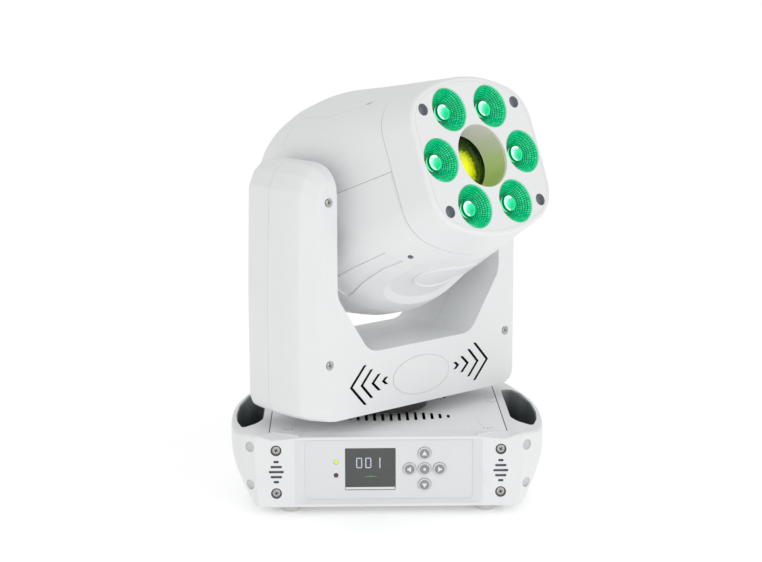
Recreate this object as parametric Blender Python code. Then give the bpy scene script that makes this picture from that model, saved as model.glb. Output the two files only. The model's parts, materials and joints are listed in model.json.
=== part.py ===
"""A small moving head light: a base with a menu panel, a yoke that pans on it and a head that tilts in it.

Lengths below are in millimetres and angles in degrees; the mesh builders turn them into Blender's metres.
World: origin on the pan axis at the underside of the base, front of the base towards -Y, +Z up.
Yoke pieces are drawn as the yoke stands at pan 0: x along the tilt axis, y = 0 on the pan axis.
Head pieces are drawn about the tilt axis with the light shining towards -Y: "w" below is the distance
forward along the optical axis, so y = -w.
"""

import math

import bmesh
import bpy
from mathutils import Matrix, Vector

MM = 0.001
GAP = 0.3  # air left between two touching pieces
REACH = 1.5  # how far a cutter runs past the faces that it cuts

# Rest pose
PAN = 41.26
TILT = 21.69

# Base
BASE_FRONT = -106.7
BASE_REAR = 107.0
BASE_TOP = 70.2
WALL = 3.0
CAVITY_HALF_WIDTH = 109.0
CAVITY_FRONT = -90.0
CAVITY_REAR = 101.0
CORNER_X, CORNER_Y = 80.5, 71.0  # where the bottom opening steps in, to leave the corners that hold the feet
CORNER_FLOOR = 3.0
TOP_PLATE_HALF_WIDTH = 112.1
TOP_PLATE_FRONT, TOP_PLATE_REAR = -93.6, 98.7
TOP_PLATE_THICKNESS = 2.2
PANEL_FACE = -103.8
PANEL_THICKNESS = 2.0
PANEL_HALF_WIDTH = 81.5
PANEL_LOW, PANEL_HIGH = 5.2, 65.8
DISPLAY = (-41.0, 6.6, 15.6, 56.4)  # left, right, low, high
STATUS_LIGHTS = ((-49.6, 42.9), (-49.6, 30.2))
BUTTONS = {
    "ok": (34.0, 35.8), "left": (19.8, 35.8), "right": (48.2, 35.8), "up": (34.0, 50.9), "down": (34.0, 20.6),
}
BUTTON_RADIUS = 6.1
BUTTON_FACE = -105.4
PAD_SCREW_X = 105.9
PAD_SCREWS_Z = (13.8, 55.4)
PAD_SCREW_SINK_RADIUS = 5.2
PAD_DEPTH = 3.0  # of the slits and the screws' recesses
PAD_SLITS = ((25.0, 5.2), (29.9, 10.8), (34.8, 14.2), (39.7, 10.8), (44.6, 5.2))  # height, length
PAD_SLIT_WIDTH = 2.4
VENT_PITCH, VENT_WIDTH, VENTS_PER_SIDE = 8.0, 3.0, 8
REAR_PANEL_HALF_WIDTH, REAR_PANEL_LOW, REAR_PANEL_HIGH = 95.7, 8.3, 61.7
INLET_X, SIGNAL_OUT_X, SIGNAL_IN_X = -62.0, 20.0, 60.0
SOCKET_Z = 35.0
FOOT_X, FOOT_Y = 93.1, 84.2
FOOT_RADIUS = 10.0
FOOT_BOTTOM = -9.0

# Yoke
YOKE_HALF_DEPTH = 51.0
YOKE_BOTTOM = 84.3
YOKE_SILL = 144.3  # top of the crossbar
YOKE_INNER = 107.0  # inner face of each arm, from the pan axis
YOKE_OUTER = 149.5
YOKE_CROWN = 326.5
TILT_AXIS = 279.68
# tip x, end x, half height
CHEVRONS = ((92.8, 75.0, 19.2), (79.3, 66.6, 13.9), (65.5, 57.0, 8.1), (52.0, 47.8, 3.6))
CHEVRON_Z = 113.5
CHEVRON_WIDTH = 2.6
YOKE_SCREW_X, YOKE_SCREWS_Z = 117.1, (139.0, 291.4)
YOKE_SCREW_SINK_RADIUS = 5.2
BADGE_Z = 112.4
BADGE_HALF_WIDTH, BADGE_HALF_HEIGHT = 37.0, 18.7
FRAME_THICKNESS = 2.0
FRAME_FLOOR = 88.0
FRAME_HALF_DEPTH = 40.0
FRAME_UPRIGHT = 110.3  # inner face of the metal frame's upright
FRAME_TOP = 308.0

# Drives
HUB_RADIUS, HUB_BORE = 15.0, 10.0
PULLEY_RADIUS = 32.0
MOTOR_PULLEY_RADIUS = 8.0
BELT_THICKNESS = 1.6
PAN_BELT_LOW, PAN_BELT_HIGH = 96.0, 104.0
PAN_MOTOR_X = 62.0
TILT_BELT_NEAR, TILT_BELT_FAR = 114.0, 121.0
TILT_MOTOR_Z = 190.0
AXLE_RADIUS = 8.0
BEARING_RADIUS = 15.0
MOTOR_SIDE = 36.0
MOTOR_SHAFT_HOLE = 3.0
SHAFT_RADIUS = 2.5
FLANGE_STEP = 1.0  # a toothed wheel's flange is this thick
PAN_MOTOR_TOP = 139.0
TILT_MOTOR_OUTER = 144.5

# Head
FACE_W = 142.66
SEAM_W = 106.0  # joint between the front bezel and the shells
SHELL_SEAM_V = 2.5  # joint between the top and the bottom shell
HEAD_WALL = 2.6
LENS_RING = 53.2
LENS_RADIUS = 20.5
LENS_COUNT = 6
TUNNEL_RADIUS = 30.0
TUNNEL_REAR_W = 112.0
FACE_HOLE = (59.1, 48.0)
FACE_HOLE_RADIUS = 5.7
CORNER_SHARE, STRAIGHT_SHARE = 0.487, 0.39  # a section's corner radius and straight side, against its size
# Sections of the head: w, half width, height above the optical axis, depth below it. The rear stays within
# 128 of the tilt axis, so that it clears the crossbar.
HEAD_SECTIONS = (
    (FACE_W, 78.0, 76.3, 75.3), (101.0, 82.5, 86.0, 85.5), (50.0, 91.0, 98.0, 97.0), (25.0, 94.5, 104.5, 101.5),
    (5.0, 97.0, 109.5, 108.5), (-12.0, 98.0, 112.0, 111.0), (-38.0, 98.0, 112.5, 108.0), (-60.0, 94.5, 109.5, 101.0),
    (-80.0, 86.0, 99.0, 89.0), (-98.0, 74.0, 81.5, 73.0), (-112.0, 56.0, 61.0, 55.0), (-122.0, 36.0, 38.0, 35.0),
)
HEAD_VENTS_V = (18.0, 28.0, 38.0, 48.0)
CHASSIS_SIDE = 86.0
WHEEL_RADIUS = 42.0
WHEEL_OFFSET = 32.0
WHEEL_HOLES, WHEEL_HOLE_RADIUS = 8, 8.5
FAN_BLADES, FAN_HUB_RADIUS, FAN_RADIUS = 7, 15.0, 36.0
FAN_REAR, FAN_FRONT = -84.0, -70.0


def clear_scene():
    for obj in list(bpy.data.objects):
        bpy.data.objects.remove(obj, do_unlink=True)


def material(name, colour, roughness, metallic=0.0, alpha=1.0):
    made = bpy.data.materials.new(name)
    made.use_nodes = True
    shader = made.node_tree.nodes["Principled BSDF"]
    shader.inputs["Base Color"].default_value = (*colour, 1.0)
    shader.inputs["Roughness"].default_value = roughness
    shader.inputs["Metallic"].default_value = metallic
    shader.inputs["Alpha"].default_value = alpha
    made.diffuse_color = (*colour, alpha)
    return made


def pivot(name, location, parent=None, turn=(0.0, 0.0, 0.0)):
    """An empty on a joint's axis; location in millimetres, turn in degrees."""
    empty = bpy.data.objects.new(name, None)
    empty.empty_display_size = 0.05
    bpy.context.collection.objects.link(empty)
    empty.parent = parent
    empty.location = Vector(location) * MM
    empty.rotation_euler = [math.radians(angle) for angle in turn]
    return empty


def add(name, shape, finish, parent=None, at=(0.0, 0.0, 0.0)):
    """An object made from a bmesh. Its origin is at `at`, given in its parent's frame like the shape itself."""
    bmesh.ops.recalc_face_normals(shape, faces=shape.faces)
    bmesh.ops.transform(shape, matrix=Matrix.Scale(MM, 4) @ Matrix.Translation(-Vector(at)), verts=shape.verts)
    mesh = bpy.data.meshes.new(name)
    shape.to_mesh(mesh)
    shape.free()
    mesh.shade_smooth()
    mesh.set_sharp_from_angle(angle=math.radians(35))
    obj = bpy.data.objects.new(name, mesh)
    bpy.context.collection.objects.link(obj)
    obj.parent = parent
    obj.location = Vector(at) * MM
    if finish:
        mesh.materials.append(finish)
    return obj


def boolean(obj, shape, operation="DIFFERENCE"):
    """Cuts a bmesh from an object, or joins it on, with a hidden helper object."""
    name = f"{obj.name}_{operation.lower()}_{len(obj.modifiers)}"
    helper = add(name, shape, None, obj.parent)
    helper.hide_render = True
    helper.display_type = "WIRE"
    modifier = obj.modifiers.new(name, "BOOLEAN")
    modifier.operation = operation
    modifier.object = helper
    modifier.solver = "EXACT"
    return obj


def loft(loops):
    """A closed body through loops of 3-D points, with a flat cap on the first and the last."""
    shape = bmesh.new()
    rows = [[shape.verts.new(point) for point in loop] for loop in loops]
    for lower, upper in zip(rows, rows[1:]):
        for i in range(len(lower)):
            j = (i + 1) % len(lower)
            shape.faces.new((lower[i], lower[j], upper[j], upper[i]))
    shape.faces.new(rows[0])
    shape.faces.new(rows[-1])
    return shape


def place(axis, a, b, height):
    """A point from two coordinates across an axis and one along it. Axis w is the optical axis, -Y."""
    return {"x": (height, a, b), "y": (a, height, b), "w": (a, -height, b), "z": (a, b, height)}[axis]


def prism(axis, outline, low, high):
    return loft([[place(axis, a, b, height) for a, b in outline] for height in (low, high)])


def block(low, high):
    (x0, y0, z0), (x1, y1, z1) = low, high
    return prism("z", [(x0, y0), (x1, y0), (x1, y1), (x0, y1)], z0, z1)


def circle(radius, steps, centre=(0.0, 0.0)):
    turns = [2 * math.pi * i / steps for i in range(steps)]
    return [(centre[0] + radius * math.cos(t), centre[1] + radius * math.sin(t)) for t in turns]


def disc(axis, radius, low, high, centre=(0.0, 0.0), steps=16):
    return prism(axis, circle(radius, steps, centre), low, high)


def turned(axis, profile, centre=(0.0, 0.0), steps=16):
    """A body of revolution from a closed profile of (radius, height). A radius of 0 makes a point on the axis."""
    shape = bmesh.new()
    rows = []
    for radius, height in profile:
        if radius == 0:
            rows.append([shape.verts.new(place(axis, *centre, height))] * steps)
        else:
            rows.append([shape.verts.new(place(axis, a, b, height)) for a, b in circle(radius, steps, centre)])
    for k, lower in enumerate(rows):
        upper = rows[(k + 1) % len(rows)]
        for i in range(steps):
            j = (i + 1) % steps
            corners = list(dict.fromkeys((lower[i], lower[j], upper[j], upper[i])))
            if len(corners) > 2:
                shape.faces.new(corners)
    return shape


def ring(axis, inner, outer, low, high, centre=(0.0, 0.0), steps=16):
    return turned(axis, [(inner, low), (outer, low), (outer, high), (inner, high)], centre, steps)


def together(*shapes):
    """Several closed bodies in one bmesh, for a cutter."""
    whole = bmesh.new()
    for shape in shapes:
        mesh = bpy.data.meshes.new("part_of_cutter")
        shape.to_mesh(mesh)
        shape.free()
        whole.from_mesh(mesh)
        bpy.data.meshes.remove(mesh)
    return whole


def inset(outline, distance):
    """A closed outline moved inwards by the same distance all round, with its points kept."""
    area = sum(a[0] * b[1] - b[0] * a[1] for a, b in zip(outline, outline[1:] + outline[:1]))
    side = 1.0 if area > 0 else -1.0
    moved = []
    for before, here, after in zip(outline[-1:] + outline[:-1], outline, outline[1:] + outline[:1]):
        one = (Vector(here) - Vector(before)).normalized()
        two = (Vector(after) - Vector(here)).normalized()
        normal = Vector((-one.y - two.y, one.x + two.x)) * side
        normal.normalize()
        stretch = max(0.5, normal.dot(Vector((-one.y, one.x)) * side))
        moved.append(tuple(Vector(here) + normal * (distance / stretch)))
    return moved


def curve_through(points, steps):
    """A smooth open curve through the points (Catmull-Rom), with `steps` pieces between each two."""
    knots = [Vector(point) for point in points]
    knots = [2 * knots[0] - knots[1], *knots, 2 * knots[-1] - knots[-2]]
    curve = []
    for before, start, end, after in zip(knots, knots[1:], knots[2:], knots[3:]):
        for k in range(steps):
            t = k / steps
            curve.append(
                0.5 * (2 * start + (end - before) * t + (2 * before - 5 * start + 4 * end - after) * t**2
                       + (3 * start - before - 3 * end + after) * t**3)
            )
    return [tuple(point) for point in curve] + [tuple(knots[-2])]


def mirrored(half):
    """A closed outline from its right half, which runs from one end of the mirror line to the other."""
    return half + [(-x, y) for x, y in reversed(half) if x > 0]


# ---------------------------------------------------------------- base

def base_outline(share):
    """The base in plan. share is 0 at the narrow underside and 1 at the widest level."""
    low = [(122.6, BASE_FRONT), (128.0, -92.0), (136.0, -30.0), (133.0, 30.0), (119.0, 100.0), (115.0, BASE_REAR)]
    high = [(126.0, BASE_FRONT), (145.5, -87.0), (151.5, -30.0), (147.5, 30.0), (129.0, 100.0), (122.0, BASE_REAR)]
    pairs = zip(curve_through(low, 3), curve_through(high, 3))
    return mirrored([tuple(Vector(a).lerp(Vector(b), share)) for a, b in pairs])


def base_body():
    """The outer shape, through levels of (z, share of the outline, inset)."""
    levels = ((0.0, 0.0, 0.0), (9.0, 0.26, 0.0), (20.0, 0.54, 0.0), (29.0, 0.74, 0.0), (40.0, 0.93, 0.0),
              (50.0, 1.0, 0.0), (65.0, 1.0, 0.0), (68.5, 1.0, 0.8), (BASE_TOP, 1.0, 2.6))
    return loft([[(x, y, z) for x, y in inset(base_outline(share), edge)] for z, share, edge in levels])


def floor_outline(gap):
    """The bottom opening in plan: the cavity without its four corners. The plate in it is smaller by the gap."""
    near, far = CORNER_X - gap, CAVITY_HALF_WIDTH - gap
    front, rear = CAVITY_FRONT + gap, CAVITY_REAR - gap
    shoulder = CORNER_Y - gap
    right = [(near, front), (near, -shoulder), (far, -shoulder), (far, shoulder), (near, shoulder), (near, rear)]
    return mirrored(right)


def hand_hole(side):
    """The pocket behind each side wall, where a hand goes in from above to carry the light."""
    inner = 121.0
    top = [(inner, -44.0), (126.5, -60.0), (138.5, -76.0), (144.3, -52.0), (146.2, -25.0), (144.8, 11.0),
           (138.3, 50.0), (130.0, 68.0), (inner, 67.0)]
    floor, waist = 14.0, 50.0
    lean = 8.0 / (146.2 - inner)  # the outer wall comes in towards the floor
    bottom = [(x - lean * (x - inner), y) for x, y in top]
    levels = ((floor, bottom), (waist, top), (BASE_TOP + REACH, top))
    return loft([[(side * x, y, z) for x, y in outline] for z, outline in levels])


def front_recess():
    """The funnel in front of the menu panel, which leaves a sloped reveal round it."""
    mouth = [(-88.5, 2.9), (88.5, 2.9), (88.5, 65.5), (-88.5, 65.5)]
    throat = [(-79.3, 6.9), (79.3, 6.9), (79.3, 64.5), (-79.3, 64.5)]
    flared = [tuple(Vector(a).lerp(Vector(b), -0.1)) for a, b in zip(mouth, throat)]
    rows = ((BASE_FRONT - 0.3, flared), (PANEL_FACE - 0.3, throat), (PANEL_FACE + 0.3, throat))
    return loft([[(x, y, z) for x, z in outline] for y, outline in rows])


def pad_details():
    """The slits and the screws' recesses in the flat pads on both sides of the menu panel."""
    front, back = BASE_FRONT - REACH, BASE_FRONT + PAD_DEPTH
    cutters = []
    for side in (-1, 1):
        x = side * PAD_SCREW_X
        for z, length in PAD_SLITS:
            low = (x - length / 2, front, z - PAD_SLIT_WIDTH / 2)
            high = (x + length / 2, back, z + PAD_SLIT_WIDTH / 2)
            cutters.append(block(low, high))
        cutters += [disc("y", PAD_SCREW_SINK_RADIUS, front, back, (x, z)) for z in PAD_SCREWS_Z]
    return together(*cutters)


def make_housing(white):
    housing = add("base_housing", base_body(), white)
    # The cavity keeps a floor at its four corners, which the feet are screwed to.
    low = (-CAVITY_HALF_WIDTH, CAVITY_FRONT, CORNER_FLOOR)
    boolean(housing, block(low, (CAVITY_HALF_WIDTH, CAVITY_REAR, BASE_TOP + REACH)))
    boolean(housing, prism("z", floor_outline(0.0), -REACH, CORNER_FLOOR + REACH))
    seat = TOP_PLATE_HALF_WIDTH + GAP
    low = (-seat, TOP_PLATE_FRONT - GAP, BASE_TOP - TOP_PLATE_THICKNESS - GAP)
    boolean(housing, block(low, (seat, TOP_PLATE_REAR + GAP, BASE_TOP + REACH)))
    boolean(housing, together(hand_hole(1), hand_hole(-1)))
    room = 0.4
    low = (-PANEL_HALF_WIDTH - room, PANEL_FACE - room, PANEL_LOW - room)
    boolean(housing, block(low, (PANEL_HALF_WIDTH + room, CAVITY_FRONT + REACH, PANEL_HIGH + room)))
    boolean(housing, front_recess())
    # Between the pads the top edge slopes up to the top plate.
    bevel = [(BASE_FRONT - 2.0, 67.6), (TOP_PLATE_FRONT, BASE_TOP + 0.05), (TOP_PLATE_FRONT, 75.0),
             (BASE_FRONT - 2.0, 75.0)]
    boolean(housing, prism("x", bevel, -92.0, 92.0))
    boolean(housing, pad_details())
    opening = REAR_PANEL_HALF_WIDTH + GAP
    low = (-opening, 95.0, REAR_PANEL_LOW - GAP)
    boolean(housing, block(low, (opening, BASE_REAR + REACH, REAR_PANEL_HIGH + GAP)))


def make_base_plates(white, metal):
    low = (-TOP_PLATE_HALF_WIDTH, TOP_PLATE_FRONT, BASE_TOP - TOP_PLATE_THICKNESS)
    plate = add("base_top_plate", block(low, (TOP_PLATE_HALF_WIDTH, TOP_PLATE_REAR, BASE_TOP)), white)
    below, above = 60.0, 80.0
    cutters = [disc("z", HUB_RADIUS + GAP, below, above)]
    for k in range(VENTS_PER_SIDE):
        # The slots end on a wide arc at their outer ends and a flat curve at their inner ends.
        x = VENT_PITCH * (k + 0.5)
        outer_end = 55.4 - 10.4 * (x / 60.0) ** 2
        inner_end = 22.0 + 12.0 * (x / 60.0) ** 3
        for side in (-1, 1):
            left, right = side * x - VENT_WIDTH / 2, side * x + VENT_WIDTH / 2
            cutters.append(block((left, -outer_end, below), (right, -inner_end, above)))
            cutters.append(block((left, inner_end, below), (right, outer_end, above)))
    boolean(plate, together(*cutters))
    add("base_bottom_plate", prism("z", floor_outline(GAP), 0.0, 2.0), metal)


def make_menu_panel(grey, dark, board, glass):
    back = PANEL_FACE + PANEL_THICKNESS
    sheet = block((-PANEL_HALF_WIDTH, PANEL_FACE, PANEL_LOW), (PANEL_HALF_WIDTH, back, PANEL_HIGH))
    panel = add("front_panel", sheet, grey)
    left, right, low, high = DISPLAY
    through = (PANEL_FACE - REACH, back + REACH)
    holes = [block((left, through[0], low), (right, through[1], high))]
    holes += [disc("y", 2.2, *through, spot, 12) for spot in STATUS_LIGHTS]
    holes += [disc("y", BUTTON_RADIUS + 0.4, *through, spot) for spot in BUTTONS.values()]
    boolean(panel, together(*holes))
    pane = block((left + GAP, PANEL_FACE - 0.1, low + GAP), (right - GAP, back - GAP, high - GAP))
    add("display_window", pane, glass)
    board_face = PANEL_FACE + 5.3
    edge = 2.0
    module = block((left - edge, back + GAP, low - edge), (right + edge, board_face - GAP, high + edge))
    add("display_module", module, dark)
    add("control_board", block((-75.0, board_face, 9.0), (75.0, board_face + 1.6, 61.0)), board)
    # A cap with a collar behind the panel, and a stem that reaches the switch on the board.
    collar_face, collar_back, stem_end = PANEL_FACE + 2.4, PANEL_FACE + 3.4, PANEL_FACE + 4.1
    cap = [(0.0, BUTTON_FACE), (5.3, BUTTON_FACE), (BUTTON_RADIUS, BUTTON_FACE + 0.5), (BUTTON_RADIUS, collar_face),
           (7.0, collar_face), (7.0, collar_back), (3.0, collar_back), (3.0, stem_end), (0.0, stem_end)]
    for name, (x, z) in BUTTONS.items():
        add(f"button_{name}", turned("y", cap, (x, z), 12), grey, at=(x, collar_face, z))


def make_feet(rubber):
    profile = [(0.0, FOOT_BOTTOM), (FOOT_RADIUS - 1.5, FOOT_BOTTOM), (FOOT_RADIUS, FOOT_BOTTOM + 1.5),
               (FOOT_RADIUS, -GAP), (0.0, -GAP)]
    for side, side_word in ((-1, "left"), (1, "right")):
        for end, end_word in ((-1, "front"), (1, "rear")):
            spot = (side * FOOT_X, end * FOOT_Y)
            add(f"foot_{end_word}_{side_word}", turned("z", profile, spot, 12), rubber)


def make_base_insides(dark, metal):
    face = BASE_REAR - 2.5
    lip = face + 1.5  # the sockets' rims stand this far back
    low = (-REAR_PANEL_HALF_WIDTH, face - 2.0, REAR_PANEL_LOW)
    panel = add("rear_panel", block(low, (REAR_PANEL_HALF_WIDTH, face, REAR_PANEL_HIGH)), metal)
    half_width, half_height, barrel = 13.8, 11.8, 11.8
    room = 0.4
    inlet_hole = (half_width + room, half_height + room)
    holes = [block((INLET_X - inlet_hole[0], 90.0, SOCKET_Z - inlet_hole[1]),
                   (INLET_X + inlet_hole[0], 110.0, SOCKET_Z + inlet_hole[1]))]
    holes += [disc("y", barrel + room, 90.0, 110.0, (x, SOCKET_Z)) for x in (SIGNAL_OUT_X, SIGNAL_IN_X)]
    boolean(panel, together(*holes))
    case = block((INLET_X - half_width, face - 22.0, SOCKET_Z - half_height),
                 (INLET_X + half_width, lip, SOCKET_Z + half_height))
    inlet = add("power_inlet", case, dark)
    well_width, well_height = 11.5, 8.5
    boolean(inlet, block((INLET_X - well_width, face - 16.0, SOCKET_Z - well_height),
                         (INLET_X + well_width, lip + REACH, SOCKET_Z + well_height)))
    bore = 9.0
    shell = [(0.0, face - 20.0), (barrel, face - 20.0), (barrel, lip), (bore, lip), (bore, face - 10.0),
             (0.0, face - 10.0)]
    for name, x in (("data_output", SIGNAL_OUT_X), ("data_input", SIGNAL_IN_X)):
        add(name, turned("y", shell, (x, SOCKET_Z)), dark)
    add("power_supply", block((-85.0, -40.0, 4.0), (-25.0, 70.0, 40.0)), metal)

    flange, flange_top = 30.0, 73.0
    rim, rim_top = PULLEY_RADIUS + 2.0, PAN_BELT_LOW
    hub = [(HUB_BORE, 50.0), (HUB_RADIUS, 50.0), (HUB_RADIUS, BASE_TOP + GAP), (flange, BASE_TOP + GAP),
           (flange, flange_top), (HUB_RADIUS, flange_top), (HUB_RADIUS, rim_top - FLANGE_STEP),
           (rim, rim_top - FLANGE_STEP), (rim, rim_top), (PULLEY_RADIUS, rim_top),
           (PULLEY_RADIUS, PAN_BELT_HIGH), (HUB_BORE, PAN_BELT_HIGH)]
    add("pan_hub_pulley", turned("z", hub, steps=24), metal)


# ---------------------------------------------------------------- yoke

YOKE_DEPTHS = (0.0, 2.6, 9.5, 14.0, 20.7, 35.0, YOKE_HALF_DEPTH)
SIDE_SHARES = (0.0, 0.15, 0.48, 0.68, 0.80, 0.95, 1.0)
CROWN_SHARES = (0.0, 0.48, 0.78, 0.86, 0.93, 1.0, 1.0)


def yoke_outline(side_share, crown_share):
    """The U of the yoke seen from the front, between its front face (shares 0) and its middle (shares 1)."""
    front = [(110.0, YOKE_BOTTOM), (119.0, 85.6), (125.5, 89.5), (128.3, 96.0), (128.6, 200.0), (128.0, 282.0),
             (124.5, 293.5), (117.0, 298.5), (YOKE_INNER, 298.5)]
    middle = [(118.0, YOKE_BOTTOM), (134.0, 86.2), (145.0, 91.5), (149.3, 103.0), (YOKE_OUTER, 200.0),
              (145.8, 303.0), (138.5, 317.5), (127.0, YOKE_CROWN), (YOKE_INNER, YOKE_CROWN)]
    inside = [(YOKE_INNER, 206.0), (105.0, 198.5), (72.0, 151.0), (65.5, 146.0), (58.0, YOKE_SILL)]
    half = []
    for (x0, z0), (x1, z1) in zip(front, middle):
        rise = crown_share if z1 > TILT_AXIS else side_share
        half.append((x0 + (x1 - x0) * side_share, z0 + (z1 - z0) * rise))
    return mirrored(half + inside)


def yoke_body(wall):
    """The whole yoke as a solid; with a wall thickness, the hollow inside it."""
    loops = []
    for depth, side_share, crown_share in zip(YOKE_DEPTHS, SIDE_SHARES, CROWN_SHARES):
        y = -YOKE_HALF_DEPTH + depth + (wall if depth < 14.0 else 0.0)
        loops.append((y, inset(yoke_outline(side_share, crown_share), wall)))
    loops += [(-y, outline) for y, outline in reversed(loops[:-1])]
    return loft([[(x, y, z) for x, z in outline] for y, outline in loops])


def chevron(side, tip, end, half_height):
    """One arrow-shaped slot with its tip pointing outwards."""
    angle = math.atan2(half_height, tip - end)
    across = CHEVRON_WIDTH / math.sin(angle)
    points = [(tip, 0.0), (end, half_height), (end - across, half_height), (tip - across, 0.0),
              (end - across, -half_height), (end, -half_height)]
    outline = [(side * x, CHEVRON_Z + z) for x, z in points]
    return prism("y", outline, -YOKE_HALF_DEPTH - REACH, -YOKE_HALF_DEPTH + WALL + REACH)


def both_arms(radius, near, far):
    """A round cutter along the tilt axis through each arm."""
    spot = (0.0, TILT_AXIS)
    return [disc("x", radius, *sorted((side * near, side * far)), spot) for side in (-1, 1)]


def rounded_run(radius_a, radius_b, spacing, steps=14):
    """The outline of a belt round two wheels, the first at the origin and the second at +x."""
    lean = math.asin((radius_a - radius_b) / spacing)
    first = [math.pi / 2 - lean + (math.pi + 2 * lean) * k / steps for k in range(steps + 1)]
    few = steps // 2
    second = [-math.pi / 2 + lean + (math.pi - 2 * lean) * k / few for k in range(few + 1)]
    left = [(radius_a * math.cos(t), radius_a * math.sin(t)) for t in first]
    right = [(spacing + radius_b * math.cos(t), radius_b * math.sin(t)) for t in second]
    return left + right


def belt(axis, low, high, spacing, turn):
    """A closed belt; turn maps the outline's (along, across) onto the plane across the axis."""
    clear = 0.5
    outlines = []
    for grow in (clear, clear + BELT_THICKNESS):
        run = rounded_run(PULLEY_RADIUS + grow, MOTOR_PULLEY_RADIUS + grow, spacing)
        outlines.append([turn(a, b) for a, b in run])
    inner, outer = outlines
    shape = bmesh.new()
    rows = [[shape.verts.new(place(axis, a, b, height)) for a, b in outline]
            for outline, height in ((inner, low), (outer, low), (outer, high), (inner, high))]
    for k, lower in enumerate(rows):
        upper = rows[(k + 1) % len(rows)]
        for i in range(len(lower)):
            j = (i + 1) % len(lower)
            shape.faces.new((lower[i], lower[j], upper[j], upper[i]))
    return shape


def make_yoke_covers(white, pan):
    face = -YOKE_HALF_DEPTH
    for word, end in (("front", -1), ("rear", 1)):
        cover = add(f"yoke_{word}_cover", yoke_body(0.0), white, pan)
        boolean(cover, yoke_body(WALL))
        # What lies past the seam at y = 0 belongs to the other cover.
        far = 200.0
        near, beyond = sorted((-end * far, end * GAP / 2))
        boolean(cover, block((-far, near, 0.0), (far, beyond, 400.0)))
        collar_hole = disc("z", 41.0, 80.0, 90.0, steps=24)
        boolean(cover, together(collar_hole, *both_arms(BEARING_RADIUS + 2.0, 100.0, 112.0)))
        if word == "front":
            boolean(cover, together(*(chevron(side, *sizes) for side in (-1, 1) for sizes in CHEVRONS)))
            spots = [(side * YOKE_SCREW_X, z) for side in (-1, 1) for z in YOKE_SCREWS_Z]
            sinks = [disc("y", YOKE_SCREW_SINK_RADIUS, face - REACH, face + 2.0, spot) for spot in spots]
            boolean(cover, together(*sinks))
    turns = [2 * math.pi * k / 32 for k in range(32)]
    oval = [(BADGE_HALF_WIDTH * math.cos(t), BADGE_Z + BADGE_HALF_HEIGHT * math.sin(t)) for t in turns]
    add("yoke_badge", prism("y", oval, face - 1.3, face - GAP), white, pan)


def make_yoke_frame(dark, metal, pan):
    inner, outer = FRAME_UPRIGHT, FRAME_UPRIGHT + FRAME_THICKNESS
    low, floor, top = FRAME_FLOOR, FRAME_FLOOR + FRAME_THICKNESS, FRAME_TOP
    u_shape = [(-outer, low), (outer, low), (outer, top), (inner, top), (inner, floor), (-inner, floor),
               (-inner, top), (-outer, top)]
    frame = add("yoke_frame", prism("y", u_shape, -FRAME_HALF_DEPTH, FRAME_HALF_DEPTH), metal, pan)
    bearing_hole = disc("z", 24.0 + GAP, 80.0, 95.0, steps=24)
    boolean(frame, together(bearing_hole, *both_arms(BEARING_RADIUS + GAP, 105.0, 118.0)))
    add("pan_bearing", ring("z", HUB_RADIUS + GAP, 24.0, 86.0, 93.0, steps=24), metal, pan)
    add("pan_collar", ring("z", 36.0, 40.5, 73.6, FRAME_FLOOR - GAP, steps=24), dark, pan)
    for side, word in ((-1, "left"), (1, "right")):
        span = sorted((side * 109.0, side * 113.4))
        bearing = ring("x", AXLE_RADIUS + GAP, BEARING_RADIUS, *span, (0.0, TILT_AXIS))
        add(f"tilt_bearing_{word}", bearing, metal, pan)


def make_pan_drive(dark, metal, rubber, pan):
    half, leg, x = MOTOR_SIDE / 2, 3.3, PAN_MOTOR_X
    low = (x - half, -half - leg, PAN_BELT_HIGH + 2.0)
    motor = add("pan_motor", block(low, (x + half, half + leg, PAN_MOTOR_TOP)), dark, pan)
    for side in (-1, 1):
        near, far = sorted((side * (half + 0.3), side * (half + leg)))
        foot = FRAME_FLOOR + FRAME_THICKNESS + GAP
        boolean(motor, block((x - half + 1, near, foot), (x + half - 1, far, 125.0)), "UNION")
    boolean(motor, disc("z", MOTOR_SHAFT_HOLE, 100.0, 125.0, (x, 0.0), 12))
    rim, step, shaft_end = MOTOR_PULLEY_RADIUS + 1.5, PAN_BELT_LOW - FLANGE_STEP, 120.0
    profile = [(0.0, step), (rim, step), (rim, PAN_BELT_LOW), (MOTOR_PULLEY_RADIUS, PAN_BELT_LOW),
               (MOTOR_PULLEY_RADIUS, PAN_BELT_HIGH), (SHAFT_RADIUS, PAN_BELT_HIGH), (SHAFT_RADIUS, shaft_end),
               (0.0, shaft_end)]
    add("pan_motor_pulley", turned("z", profile, (x, 0.0)), metal, pan, at=(x, 0.0, PAN_BELT_LOW))
    run = belt("z", PAN_BELT_LOW + GAP, PAN_BELT_HIGH, x, lambda along, across: (along, across))
    add("pan_belt", run, rubber, pan)


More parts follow.
